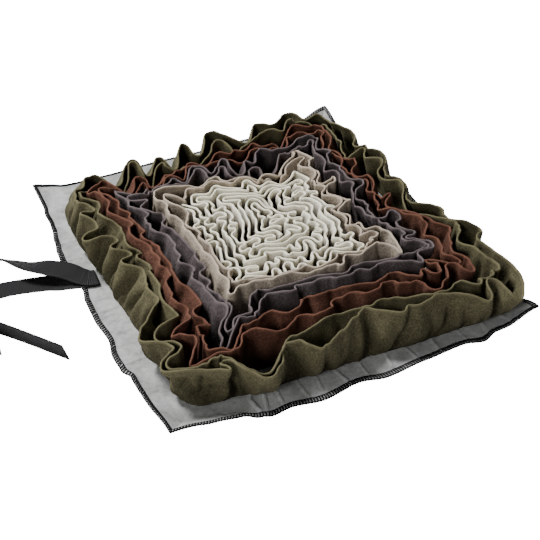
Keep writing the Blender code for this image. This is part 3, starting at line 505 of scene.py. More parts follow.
def settle(walls):
    """Draws every top edge out from its seam, keeping all walls clear of each other."""
    sizes = np.array([len(w.foot) for w in walls])
    start = np.concatenate(([0], np.cumsum(sizes)))
    total = start[-1]
    wall = np.repeat(np.arange(len(walls)), sizes)
    strip = np.array([w.strip for w in walls])[wall]
    closed = np.array([w.closed for w in walls])[wall]
    clearance = np.array([w.clearance for w in walls])[wall]
    number = np.arange(total) - start[wall]
    before, after = np.arange(total) - 1, np.arange(total) + 1
    for w, a, b in zip(walls, start[:-1], start[1:]):
        before[a], after[b - 1] = (b - 1, a) if w.closed else (a, b - 1)
    width = np.array([w.width for w in walls])[wall]
    grows = ~closed
    held = closed[:, None].astype(float)
    bend = np.where(closed, RING_BEND, CREAM_BEND)[:, None]
    foot = np.vstack([w.foot for w in walls])
    goal = np.vstack([w.goal for w in walls])
    run = number * CREAM_STEP
    slow, fast = UNEVEN_WAVES
    uneven = 1 + CREAM_UNEVEN * np.sin(run / slow + wall * UNEVEN_PHASE) * np.sin(run / fast + wall)
    sewn = np.hypot(*(foot - foot[after]).T)
    gain = np.where(grows & (after != np.arange(total)), CREAM_STEP * uneven - sewn, 0.0)
    stretch = np.where(grows & (after != np.arange(total)), STRETCH, 0.0)
    top = foot.copy()
    pairs = []
    for step in range(SETTLE_STEPS):
        drawn = min(1.0, (step + 1) / (SETTLE_STEPS * DRAWN_BY))
        fade = min(1.0, max(0.0, (SETTLE_STEPS - step - RELEASE / 2) / RELEASE))
        short = foot + (goal - foot) * drawn - top
        pull = PULL * fade * short
        most = np.where(closed | (step < LED), MOST_LED, MOST_FREE)
        top = top + pull * np.minimum(1, most / np.maximum(np.hypot(*pull.T), 1e-6))[:, None]
        top = top + SMOOTH * held * (short - 0.5 * (short[before] + short[after]))
        turn = top[before] + top[after] - 2 * top
        top = top - bend * (turn[before] + turn[after] - 2 * turn)
        rest = sewn + gain * min(1.0, (step + 1) / (SETTLE_STEPS * GROWN_BY))
        for _ in range(2):
            link = top[after] - top
            length = np.maximum(np.hypot(*link.T), 1e-6)
            tug = (0.5 * stretch * (length - rest) / length)[:, None] * link
            top = top + tug
            top[after[grows]] -= tug[grows]
        if SWIRL[0] <= step < SWIRL[1]:
            top[grows] = twirl(top[grows], SWIRL_TURNS / (SWIRL[1] - SWIRL[0]))
        height = wall_height(np.hypot(*(top - foot).T), width)
        if step % PAIR_STEPS == 0:
            pairs = []
            for level in LEVELS:
                share = np.minimum(1.0, level / height)[:, None]
                i, j = cell_pairs(foot + share * (top - foot), REACH)
                gap = np.abs(number[i] - number[j])
                gap = np.where(closed[i], np.minimum(gap, sizes[wall[i]] - gap), gap)
                apart = (wall[i] != wall[j]) | (gap > np.where(closed[i], RING_NEXT, CREAM_NEXT))
                pairs.append((i[apart], j[apart]))
        for level, (i, j) in zip(LEVELS, pairs):
            share = np.minimum(1.0, level / height)
            place = foot + share[:, None] * (top - foot)
            d = place[i] - place[j]
            distance = np.maximum(np.hypot(*d.T), 1e-6)
            need = 0.5 * (clearance[i] + clearance[j])
            low = 0.5 * (share[i] + share[j])
            own = SEAM_CLEARANCE + (1 - SEAM_CLEARANCE) * low
            need = need * np.where(strip[i] == strip[j], own, STRIP_CLEARANCE)
            if level == LEVELS[0]:
                need = np.where(grows[i] & grows[j], CREAM_SPREAD, need)
            push = np.clip(need - distance, 0, None) / distance * PUSH
            move = d * push[:, None]
            shift = np.stack([np.bincount(i, move[:, k], total) - np.bincount(j, move[:, k], total)
                              for k in (0, 1)], axis=1)
            touching = np.bincount(i, push > 0, total) + np.bincount(j, push > 0, total)
            shift /= np.maximum(touching, 1)[:, None] ** 0.5
            shift /= np.maximum(share, LEAST_SHARE)[:, None]
            limit = np.minimum(1, MOST_PUSHED / np.maximum(np.hypot(*shift.T), 1e-6))
            top = top + shift * limit[:, None]
    for w, a, b in zip(walls, start[:-1], start[1:]):
        w.top = top[a:b]


# ---- the felt margin ----
def edge_form(side, place):
    """How far the felt's edge bows out and lifts at places along a side."""
    at, bow, lift = np.array(MARGIN[side], float).T
    k = np.clip(np.searchsorted(at, place) - 1, 0, len(at) - 2)
    u = np.clip((place - at[k]) / (at[k + 1] - at[k]), 0, 1)
    u = u * u * (3 - 2 * u)
    return bow[k] + (bow[k + 1] - bow[k]) * u, lift[k] + (lift[k + 1] - lift[k]) * u


def margin_ring(share, per_edge):
    """Points round the margin's underside, from the flat part (share 0) to the edge (share 1)."""
    half_x = FLAT_X + (MAT_X / 2 - FLAT_X) * share
    half_y = FLAT_Y + (MAT_Y / 2 - FLAT_Y) * share
    along = np.arange(per_edge) / per_edge * 2 - 1
    ring = []
    for side, half, out, turn in (("front", half_x, half_y, 1), ("right", half_y, half_x, 1),
                                  ("back", half_x, half_y, -1), ("left", half_y, half_x, -1)):
        place = along * half * turn
        bow, lift = edge_form(side, place)
        far = turn * (out + bow * share)
        x, y = (place, -far) if side in ("front", "back") else (far, place)
        wave = (np.sin(x / RIM_LENGTHS[0] + RIM_PHASES[0])
                * np.cos(y / RIM_LENGTHS[1] + RIM_PHASES[1]))
        height = lift * share**2
        height = height + RIM_WAVE * share**2 * (0.5 + 0.5 * wave)
        for side_x, side_y, curl, reach in CORNER_CURL:
            gap = np.hypot(side_x * MAT_X / 2 - x, side_y * MAT_Y / 2 - y)
            height = height + curl * share * np.exp(-(gap / reach) ** 2)
        ring.append(np.column_stack((x, y, height)))
    return np.vstack(ring)


# ---- surfaces ----
FINE = 1.6  # spacing of a ruffle's points along its longer edge
# Heights on a wall at which it gets points, as shares of it
FULL_LEVELS = (1.0, 0.975, 0.94, 0.89, 0.83, 0.76, 0.69, 0.61, 0.53, 0.45, 0.37, 0.29, 0.21, 0.14, 0.07,
               0.02)
FEW_LEVELS = (1.0, 0.97, 0.92, 0.85, 0.76, 0.66, 0.55, 0.44, 0.33, 0.22, 0.12, 0.04)
RIM_STEPS = 4  # facets round a cut edge
STRIP_FLOOR = FELT + STITCH_GAP + FLEECE / 2  # height of the middle of a sewn-down strip
NAPPED = 2.0  # thickness of the brushed cloth
RIM_THICK = 2.2  # a cut edge is a little thicker than the cloth
MEAN_PASSES = 260  # softening that leaves a wall without its folds
# Waves along a wall: how far they reach where that isn't in LOOKS, then lengths and weights
GATHER_WAVES = ((19.0, 0.6), (29.0, 0.5))  # gathers above a seam
FOOT_WANDER, FOOT_WAVES = 0.8, ((37.0, 0.6), (23.0, 0.5))
FOLD_WANDER, FOLD_WAVES = 0.7, ((12.0, 0.5), (18.0, 0.5))  # small folds, of the rings alone
RING_UNEVEN, CREAM_RISES, HEIGHT_WAVES = 2.0, 1.2, ((66.0, 0.6), (36.0, 0.5))
RIPPLE_SHIFTS = (-3, 0, 4)  # each wave is three, with so many turns more along a wall
GATHERED_UNDER = 0.86  # share of the height under which a wall is gathered
RIM_FROM, RIM_IN = 0.9, 8.0  # share above which a wall leans in, and how much
EDGE_PASSES, ROOM_PASSES = 2, 6  # softening of a top edge and of the room beside it

# One row per ruffle: name, how its folds fade downwards (1 evenly, less keeps them deep), depth of
# its gathers, belly of its outer wall, how much paler its cut edges are (their brushed nap and a painted
# highlight), most of its frills, how dark its painted shade is deep down, the shares of its height
# below and above which it is and isn't shaded, levels
Look = namedtuple("Look", "name keep gather belly rim_factor frill deep dark_below light_above levels")
LOOKS = (
    Look("olive", 0.50, 3.6, 2.5, 1.6, 0.9, 0.60, 0.25, 0.80, FULL_LEVELS),
    Look("rust", 0.62, 2.6, 0.6, 1.5, 3.0, 0.50, 0.30, 0.88, FULL_LEVELS),
    Look("plum", 0.62, 2.4, 0.5, 1.9, 3.0, 0.50, 0.30, 0.88, FULL_LEVELS),
    Look("taupe", 0.62, 2.0, 0.5, 1.5, 2.5, 0.50, 0.30, 0.88, FULL_LEVELS),
    Look("cream", 0.14, 0.4, 0.0, 1.15, 0.0, 0.08, 0.66, 0.985, FEW_LEVELS),
)
FRILL_WAVES = ((21.0, 0.3), (30.0, 0.6), (44.0, 0.5))  # small folds in a top edge
FRILLED = 1.7  # how soon a frill uses all the room it has
FRILL_REACH = 12.0  # how far an edge looks for its room
FRILL_GAP = 1.0  # clearance that two frills leave between them
FRILL_PASSES = 3  # softening of the direction that they swing in

# How the sewn line of the olive ruffle wanders and its outer wall bellies: x, y, how far the line
# lies outwards of a straight one, belly
SEWN_LINE = (
    (-177, 160, 1.0, 3.0), (-177, 130, 4.0, 3.5), (-177, 90, 1.0, 3.0), (-177, 40, -1.5, 3.0),
    (-177, -28, -2.0, 3.0), (-177, -60, -5.0, 2.5), (-177, -104, -6.5, 2.0), (-177, -150, -8.0, 1.5),
    (-170, -190, -9.0, 1.5), (-158, -201, -9.0, 2.0), (-138, -204, -8.0, 1.0), (-120, -204, -8.0, 0.5),
    (-106, -204, -2.0, 5.0), (-84, -204, -4.0, 2.0), (-40, -204, -2.0, 3.0), (4, -204, -1.0, 4.0),
    (40, -204, 1.0, 5.0), (100, -204, 3.0, 5.0), (140, -204, 2.0, 4.5), (170, -194, 1.0, 3.0),
    (177, -120, 0.0, 3.0), (177, 120, 0.0, 3.0), (120, 181, 0.0, 2.0), (-120, 181, 0.0, 2.0),
)

WRINKLED, WIDENED = 1.6, 1.4  # the wrinkles below are this much deeper and wider

# Wrinkles pressed into the outer olive wall: x, y, height share, half length, half width, depth
# (less than 0 inwards), tilt in degrees
WRINKLES = (
    (-168, -190, 0.60, 36, 6.5, -8.0, 6), (-170, -188, 0.40, 14, 2.6, 2.4, 150),
    (-160, -200, 0.34, 26, 3.0, -4.6, 24), (-152, -203, 0.20, 11, 2.6, -3.4, -34),
    (-166, -196, 0.16, 9, 2.4, 2.2, 8), (-144, -204, 0.55, 16, 3.4, 2.6, 112),
    (-148, -204, 0.38, 10, 2.6, -3.0, 55), (-129, -204, 0.60, 22, 2.6, 2.4, 96),
    (-118, -204, 0.45, 24, 4.2, -4.6, 113), (-92, -204, 0.55, 18, 4.0, 2.2, 70),
    (-66, -204, 0.50, 26, 4.6, -5.6, 113), (-50, -204, 0.60, 22, 3.0, 2.6, 105),
    (-34, -204, 0.30, 14, 3.0, -2.6, 100), (-14, -204, 0.40, 18, 4.0, 1.6, 70),
    (5, -204, 0.60, 28, 2.6, 2.8, 90), (17, -204, 0.52, 28, 4.4, -5.4, 86),
    (32, -204, 0.50, 16, 4.0, 1.6, 70), (44, -204, 0.24, 14, 2.8, -3.0, 72),
    (57, -204, 0.58, 24, 3.2, -6.0, 74), (69, -204, 0.50, 22, 3.6, 3.4, 82),
    (86, -204, 0.30, 12, 2.6, -2.0, 70), (101, -204, 0.38, 18, 3.0, -3.8, 70),
    (112, -204, 0.45, 16, 3.0, 1.8, 72), (125, -204, 0.32, 16, 3.0, -3.4, 72),
    (152, -202, 0.38, 18, 3.2, -3.6, 74), (168, -198, 0.45, 18, 3.4, -2.8, 80),
    (-177, -140, 0.40, 18, 3.4, -4.3, 70), (-177, -108, 0.45, 20, 3.6, -5.2, 66),
    (-177, -80, 0.42, 18, 3.2, -4.9, 74), (-177, -50, 0.48, 22, 3.8, -5.8, 70),
    (-177, -24, 0.42, 20, 3.4, -5.5, 66), (-177, 6, 0.45, 22, 3.6, -5.8, 72),
    (-177, 34, 0.42, 18, 3.4, -5.2, 68), (-177, 62, 0.40, 16, 3.2, -4.6, 74),
    (-177, 92, 0.45, 16, 3.4, -4.6, 64), (-177, 124, 0.40, 16, 3.2, -4.3, 70),
)


def cubic(a, b, c, d, t):
    """Curve from b to c, on the way from a to d."""
    return 0.5 * (2 * b + (c - a) * t + (2 * a - 5 * b + 4 * c - d) * t**2
                  + (3 * b - a - 3 * c + d) * t**3)


def refine(rows, closed, count):
    """Cubic resampling of rows to `count` rows at even places."""
    rows = np.asarray(rows, float)
    n = len(rows)
    at = np.arange(count) * n / count if closed else np.linspace(0, n - 1, count)
    k = np.floor(at).astype(int)
    if not closed:
        k = np.minimum(k, n - 2)
    places = [(k + i) % n if closed else np.clip(k + i, 0, n - 1) for i in (-1, 0, 1, 2)]
    return cubic(*(rows[p] for p in places), (at - k)[:, None])


def soften(rows, closed, passes):
    rows = np.array(rows)
    if not closed:
        return smooth_rows(rows, passes)
    for _ in range(passes):
        rows = 0.25 * np.roll(rows, 1, 0) + 0.5 * rows + 0.25 * np.roll(rows, -1, 0)
    return rows


def ripple(run, rng, waves):
    """Smooth uneven wave along a run, about -1 to 1; rows of waves are wavelength and weight."""
    total = np.zeros(len(run))
    for length, weight in waves:
        turns = max(1, round(run[-1] / length))
        for shift in RIPPLE_SHIFTS:
            phase = rng.uniform(0, 2 * math.pi)
            total += weight / 2 * np.sin(2 * math.pi * run / run[-1] * (turns + shift) + phase)
    return total


def shader(name):
    made = bpy.data.materials.new(name)
    made.use_nodes = True
    return made, made.node_tree, made.node_tree.nodes["Principled BSDF"]


def piece(name, verts, faces, material, node, values=None):
    """A smooth mesh piece in the frame, standing for a node of the part."""
    mesh = bpy.data.meshes.new(name)
    mesh.from_pydata((np.asarray(verts) * MM).tolist(), [], [tuple(int(i) for i in f) for f in faces])
    bm = bmesh.new()
    bm.from_mesh(mesh)
    bmesh.ops.recalc_face_normals(bm, faces=bm.faces[:])
    bm.to_mesh(mesh)
    bm.free()
    mesh.shade_smooth()
    for key, value in (values or {}).items():
        layer = mesh.attributes.new(key, "FLOAT", "POINT")
        layer.data.foreach_set("value", np.asarray(value, np.float32))
    mesh.materials.append(material)
    thing = placed(name, mesh, (0.0, 0.0, 0.0))
    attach(thing, "root")
    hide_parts(node)
    return thing


def thick_sheet(middle, closed, thick, rim_thick):
    """Both faces and rounded long edges of a sheet given by its middle surface.

    middle has shape (rows along, columns across, 3). Returns vertices, faces and each vertex's
    row and column.
    """
    rows, columns, _ = middle.shape
    if closed:
        along = np.roll(middle, -1, 0) - np.roll(middle, 1, 0)
    else:
        along = np.gradient(middle, axis=0)
    across = np.gradient(middle, axis=1)
    normal = unit(np.cross(along, across))
    half = np.full(columns, thick / 2)
    half[0] = half[-1] = rim_thick / 2
    half[1] = half[-2] = (thick + rim_thick) / 4
    front = middle + normal * half[None, :, None]
    back = middle - normal * half[None, :, None]
    strips = [front]
    angles = np.linspace(0, math.pi, RIM_STEPS + 1)[1:-1]
    for edge, step in ((columns - 1, -1), (0, 1)):
        out = unit(middle[:, edge] - middle[:, edge + step])
        up = normal[:, edge] * (1 if edge else -1)
        rim = [middle[:, edge] + half[edge] * (up * math.cos(a) + out * math.sin(a)) for a in angles]
        strips.append(np.stack(rim, axis=1))
        if edge:
            strips.append(back[:, ::-1])
    ring = np.concatenate(strips, axis=1)
    around = ring.shape[1]
    r = np.arange(rows if closed else rows - 1)[:, None]
    c = np.arange(around)[None, :]
    d = (c + 1) % around
    a, b = r * around, ((r + 1) % rows) * around
    faces = np.stack([a + c, a + d, b + d, b + c], axis=2).reshape(-1, 4).tolist()
    if not closed:
        faces += end_faces(columns, 0) + end_faces(columns, (rows - 1) * around)
    column = np.concatenate([np.arange(columns), np.full(RIM_STEPS - 1, columns - 1),
                             np.arange(columns)[::-1], np.zeros(RIM_STEPS - 1)])
    return ring.reshape(-1, 3), faces, np.repeat(np.arange(rows), around), np.tile(column, rows)


def end_faces(columns, start):
    """Faces that close the end of a sheet: from its front face across to its back face."""
    back_first = columns + RIM_STEPS - 1
    faces = []
    for c in range(columns - 1):
        f0, f1 = start + c, start + c + 1
        b0, b1 = start + back_first + columns - 1 - c, start + back_first + columns - 2 - c
        faces.append((f0, b0, b1, f1))
    faces.append(tuple(start + columns - 1 + k for k in range(RIM_STEPS + 1)))
    faces.append(tuple([start + back_first + columns - 1 + k for k in range(RIM_STEPS)] + [start]))
    return faces


def near_run(line, x, y, run):
    """Distance along a wall from its place nearest to a point."""
    gap = run - run[np.argmin(np.hypot(line[:, 0] - x, line[:, 1] - y))]
    return (gap + run[-1] / 2) % run[-1] - run[-1] / 2


def sewn_line(base, run):
    """Wander of the olive ruffle's sewn line and the belly of its outer wall, all along it."""
    rows = np.array(SEWN_LINE, float)
    at = np.array([run[np.argmin(np.hypot(base[:, 0] - x, base[:, 1] - y))] for x, y in rows[:, :2]])
    return [np.interp(run, at, rows[:, k], period=run[-1]) for k in (2, 3)]


def wall_surface(edge, base, side, closed, width, run, rng, look, belly, shaped):
    """Middle surface of one wall, from its top edge down to its foot."""
    seam_side = outward(base, closed) * side
    wander = FOOT_WANDER * ripple(run, rng, FOOT_WAVES)[:, None]
    foot = base + seam_side * (FOOT - FLEECE / 2 + wander)
    uneven = RING_UNEVEN if closed else CREAM_RISES
    mean = soften(edge, closed, MEAN_PASSES)
    fold = edge - mean + seam_side * (FOLD_WANDER * ripple(run, rng, FOLD_WAVES))[:, None] * closed
    lean = np.hypot(*(edge - foot).T)
    height = wall_height(lean, width) + uneven * ripple(run, rng, HEIGHT_WAVES)
    gathers = look.gather * ripple(run, rng, GATHER_WAVES)
    edge_side = soften(outward(edge, closed), closed, EDGE_PASSES) * side
    wrinkles = [(near_run(foot, row[0], row[1], run), *row[2:]) for row in WRINKLES] if shaped else ()
    columns = []
    for t in look.levels:
        way = seam_side * (1 - t * t) + edge_side * t * t
        push = gathers * math.sin(math.pi * min(1.0, t / GATHERED_UNDER)) * (t < GATHERED_UNDER)
        push = push + belly * math.sin(math.pi * t**0.75) ** 2 - RIM_IN * max(0.0, t - RIM_FROM)
        for gap, share, half_run, half_wide, depth, tilt in wrinkles:
            a = math.radians(tilt)
            up = (t - share) * width
            along = gap * math.cos(a) + up * math.sin(a)
            across = up * math.cos(a) - gap * math.sin(a)
            dip = np.exp(-(along / half_run) ** 2 - (across / half_wide / WIDENED) ** 2)
            push = push + WRINKLED * depth * dip
        plan = foot + (mean - foot) * t + fold * t**look.keep + way * push[:, None]
        columns.append(np.column_stack((plan, STRIP_FLOOR + (height - FLEECE) * t)))
    return columns


def ruffle_piece(base, outer, inner, room, closed, width, seed, look):
    """One sewn-down strip: its outer wall, the seam's floor and its inner wall in one sheet."""
    rng = np.random.default_rng(seed)
    lengths = [edge_length(edge, closed) for edge in (outer, inner)]
    length = 0.5 * sum(lengths)
    count = int(max(lengths) / FINE)
    base = refine(base, closed, count)
    run = np.linspace(0, length, count)
    room = [soften(refine(r[:, None], closed, count), closed, ROOM_PASSES)[:, 0] for r in room]
    fine = [soften(refine(soften(edge, closed, 1), closed, count), closed, EDGE_PASSES)
            for edge in (outer, inner)]
    outer, inner = (frilled(edge, free, closed, run, rng, look.frill) for edge, free in zip(fine, room))
    belly, shaped = look.belly, look.name == "olive"
    if shaped:
        wander, belly = sewn_line(base, run)
        base = base + outward(base, closed) * soften(wander, closed, MEAN_PASSES // 2)[:, None]
    left = wall_surface(outer, base, 1, closed, width, run, rng, look, belly, shaped)
    right = wall_surface(inner, base, -1, closed, width, run, rng, look, 0.0, False)
    bottom = [np.column_stack((base + outward(base, closed) * x, np.full(count, STRIP_FLOOR)))
              for x in (FOOT - FLEECE, 0.0, FLEECE - FOOT)]
    middle = np.stack(left + bottom + right[::-1], axis=1)
    verts, faces, _, column = thick_sheet(middle, closed, NAPPED, RIM_THICK)
    rise = np.array(look.levels + (0.0,) * len(bottom) + look.levels[::-1])
    name = "fleece_" + look.name
    made = piece(name, verts, faces, fleece(look), "ruffle_" + look.name,
                 {"rise": rise[column.astype(int)]})


def rooms(plans):
    """How far each wall's top edge stays from every other edge, and from its own next folds."""
    walls = [(w.top, w.closed) for _, pair, _, _ in plans for w in pair]
    sizes = [len(top) for top, _ in walls]
    points = np.vstack([top for top, _ in walls])
    wall = np.repeat(np.arange(len(walls)), sizes)
    number = np.concatenate([np.arange(size) for size in sizes])
    first, second = cell_pairs(points, FRILL_REACH)
    other = (wall[first] != wall[second]) | (np.abs(number[first] - number[second]) > RING_NEXT)
    first, second = first[other], second[other]
    gap = np.hypot(*(points[first] - points[second]).T)
    room = np.full(len(points), FRILL_REACH)
    np.minimum.at(room, first, gap)
    np.minimum.at(room, second, gap)
    return np.split(room, np.cumsum(sizes)[:-1])


def frilled(edge, room, closed, run, rng, most):
    """Adds small folds to a top edge, as deep as the room beside it lets them be."""
    deep = np.clip((room - NAPPED - FRILL_GAP) / 2, 0, most)
    waves = np.clip(FRILLED * ripple(run, rng, FRILL_WAVES), -1, 1)
    way = soften(outward(edge, closed), closed, FRILL_PASSES)
    return edge + way * (deep * waves)[:, None]


def edge_length(edge, closed):
    loop = np.vstack((edge, edge[:1])) if closed else edge
    return arc_lengths(loop)[-1]


# ---- materials ----
def node(tree, kind, **settings):
    made = tree.nodes.new(kind)
    for key, value in settings.items():
        setattr(made, key, value)
    return made


def noise(tree, place, scale, detail=4.0, rough=0.6):
    made = node(tree, "ShaderNodeTexNoise")
    made.inputs["Scale"].default_value = scale
    made.inputs["Detail"].default_value = detail
    made.inputs["Roughness"].default_value = rough
    tree.links.new(place, made.inputs["Vector"])
    return made.outputs["Fac"]


def ramp(tree, value, *stops):
    made = node(tree, "ShaderNodeValToRGB")
    elements = made.color_ramp.elements
    while len(elements) < len(stops):
        elements.new(0.5)
    for element, (at, colour) in zip(elements, stops):
        element.position = at
        element.color = (*colour, 1.0)
    tree.links.new(value, made.inputs["Fac"])
    return made.outputs["Color"]


def mix(tree, factor, first, second, blend="MIX"):
    made = node(tree, "ShaderNodeMix", data_type="RGBA", blend_type=blend)
    for socket, value in ((made.inputs[0], factor), (made.inputs[6], first), (made.inputs[7], second)):
        if isinstance(value, (int, float)):
            socket.default_value = value
        elif isinstance(value, tuple):
            socket.default_value = (*value, 1.0)
        else:
            tree.links.new(value, socket)
    return made.outputs[2]


def bump(tree, height, strength, distance, normal=None):
    made = node(tree, "ShaderNodeBump")
    made.inputs["Strength"].default_value = strength
    made.inputs["Distance"].default_value = distance
    tree.links.new(height, made.inputs["Height"])
    if normal is not None:
        tree.links.new(normal, made.inputs["Normal"])
    return made.outputs["Normal"]


def shade(colour, factor):
    return tuple(min(1.0, c * factor) for c in colour)


BLACK, WHITE = (0.0, 0.0, 0.0), (1.0, 1.0, 1.0)


def toned(tree, colour, *layers):
    """Shades of a colour mixed in layers: each is its factor, a value, and (value, shade) stops."""
    tone = None
    for factor, value, *stops in layers:
        layer = ramp(tree, value, *((at, shade(colour, k)) for at, k in stops))
        tone = layer if tone is None else mix(tree, factor, tone, layer)
    return tone


def coat(tree, surface, tone, normal, values):
    """Gives a surface its colour, its relief and its constant values."""
    tree.links.new(tone, surface.inputs["Base Color"])
    if normal is not None:
        tree.links.new(normal, surface.inputs["Normal"])
    for name, value in values.items():
        surface.inputs[name].default_value = value


def fleece(look):
    """Brushed fleece: pilled nap, uneven tone, cut edges paler (their brushed nap and a painted
    highlight), painted shade deep down.
    """
    colour = COLOURS[look.name]
    made, tree, surface = shader("fleece_" + look.name)
    place = node(tree, "ShaderNodeTexCoord").outputs["Object"]
    pills = noise(tree, place, 520.0, 4.0, 0.62)
    nap = noise(tree, place, 1700.0, 2.0, 0.6)
    patch = noise(tree, place, 30.0, 3.0, 0.55)
    tone = toned(tree, colour, (1.0, pills, (0.40, 0.45), (0.50, 1.0), (0.61, 1.9)),
                 (0.35, nap, (0.3, 0.55), (0.7, 1.6)), (0.35, patch, (0.35, 0.7), (0.65, 1.25)))
    rise = node(tree, "ShaderNodeAttribute", attribute_name="rise").outputs["Fac"]
    # top edges paler: partly the real brushed cut edge, partly a painted highlight along the rims
    near = ramp(tree, rise, (0.955, BLACK), (0.995, WHITE))
    rim = toned(tree, colour, (1.0, nap, (0.3, look.rim_factor * 0.75), (0.7, look.rim_factor * 1.2)))
    tone = mix(tree, near, tone, rim)
    # painted shade: each wall gets darker towards its foot, standing in for the shade deep between the
    # folds
    depth = ramp(tree, rise, (look.dark_below, shade(WHITE, look.deep)), (look.light_above, WHITE))
    tone = mix(tree, 1.0, tone, depth, "MULTIPLY")
    normal = bump(tree, pills, 0.9, 0.0009, bump(tree, nap, 0.5, 0.0004))
    coat(tree, surface, tone, normal, {
        "Roughness": 0.95, "Specular IOR Level": 0.12, "Sheen Weight": 0.30, "Sheen Roughness": 0.5,
        "Sheen Tint": (*shade(colour, look.rim_factor), 1.0)})
    return made


def felt():
    """Grey needled felt, mottled, with darker marks."""
    made, tree, surface = shader("felt")
    place = node(tree, "ShaderNodeTexCoord").outputs["Object"]
    fibres = noise(tree, place, 800.0, 5.0, 0.7)
    clumps = noise(tree, place, 170.0, 4.0, 0.65)
    patch = noise(tree, place, 36.0, 3.0, 0.6)
    tone = toned(tree, COLOURS["felt"], (1.0, fibres, (0.34, 0.50), (0.66, 1.5)),
                 (0.6, clumps, (0.36, 0.45), (0.60, 1.3)), (0.5, patch, (0.36, 0.55), (0.60, 1.2)))
    normal = bump(tree, clumps, 0.5, 0.0008, bump(tree, fibres, 0.5, 0.0004))
    coat(tree, surface, tone, normal, {"Roughness": 0.92, "Specular IOR Level": 0.2, "Sheen Weight": 0.15})
    return made


def webbing_material():
    """Black ribbed webbing: weft ribs across it, fine warp lines along it."""
    made, tree, surface = shader("webbing")
    place = node(tree, "ShaderNodeCombineXYZ")
    for key, socket in (("along", 0), ("across", 1)):
        source = node(tree, "ShaderNodeAttribute", attribute_name=key)
        tree.links.new(source.outputs["Fac"], place.inputs[socket])
    waves = []
    for direction, scale in (("X", 0.21), ("Y", 0.30)):
        wave = node(tree, "ShaderNodeTexWave", wave_type="BANDS", bands_direction=direction)
        wave.inputs["Scale"].default_value = scale
        wave.inputs["Distortion"].default_value = 0.5
        wave.inputs["Detail Scale"].default_value = 1.5
        tree.links.new(place.outputs[0], wave.inputs["Vector"])
        waves.append(wave.outputs["Fac"])
    grain = noise(tree, place.outputs[0], 1.3, 3.0, 0.6)
    tone = toned(tree, TIE_COLOUR, (1.0, waves[0], (0.1, 0.18), (0.8, 0.60)),
                 (0.3, waves[1], (0.2, 0.2), (0.9, 0.60)), (0.3, grain, (0.35, 0.2), (0.65, 0.85)))
    normal = bump(tree, waves[0], 0.8, 0.0004, bump(tree, waves[1], 0.3, 0.0002))
    coat(tree, surface, tone, normal, {"Roughness": 0.65, "Specular IOR Level": 0.18})
    return made


def thread(name, colour):
    made, tree, surface = shader(name)
    place = node(tree, "ShaderNodeTexCoord").outputs["Object"]
    twist = noise(tree, place, 2500.0, 2.0, 0.5)
    tone = toned(tree, colour, (1.0, twist, (0.3, 0.5), (0.7, 1.6)))
    coat(tree, surface, tone, None, {"Roughness": 0.8, "Specular IOR Level": 0.15})
    return made


# ---- threads ----
NEARLY_UP = (0.02, 0.03, 1.0)  # what a tube's sides are worked out from; no tube runs along it


class Strands:
    """Tubes gathered into one mesh."""

    def __init__(self):
        self.verts, self.faces = [], []

    def tube(self, path, radius, sides, closed=False):
        path = np.asarray(path, float)
        count = len(path)
        along = np.roll(path, -1, 0) - np.roll(path, 1, 0) if closed else np.gradient(path, axis=0)
        along = unit(along)
        side = unit(np.cross(along, NEARLY_UP))
        up = np.cross(side, along)
        a = np.arange(sides) * 2 * math.pi / sides
        radius = np.broadcast_to(radius, count)[:, None, None]
        around = side[:, None] * np.cos(a)[:, None] + up[:, None] * np.sin(a)[:, None]
        ring = path[:, None] + radius * around
        start = sum(len(v) for v in self.verts)
        self.verts.append(ring.reshape(-1, 3))
        for k in range(count if closed else count - 1):
            p, q = start + k * sides, start + (k + 1) % count * sides
            for j in range(sides):
                n = (j + 1) % sides
                self.faces.append((p + j, q + j, q + n, p + n))
        if not closed:
            self.faces.append(tuple(range(start, start + sides)))
            self.faces.append(tuple(range(start + (count - 1) * sides, start + count * sides)))

    def made(self, name, material, node_name, slot):
        return piece(name, np.vstack(self.verts), self.faces, material, node_name)


# ---- backing ----
BACKING_EDGE = 400  # points along each edge
MARGIN_RINGS = 13  # rings of points from the edge to the flat part
MIDDLE_RINGS = (0.75, 0.4, 0.1, 0.002)  # sizes of the rings inside it
STITCH_EDGE = 140  # overlock stitches along each edge
PER_STITCH = 4  # points along the edge for each of them
STITCH_SHARE = 0.85  # how far in the inner line of the overlocking lies
CORD, CORD_BEAD = 0.82, 0.16  # radius of the cord along the edge, and how far it swells
LINE, LINE_BEAD = 0.52, 0.10  # and of the inner line
STITCH = 0.80  # radius of a stitch

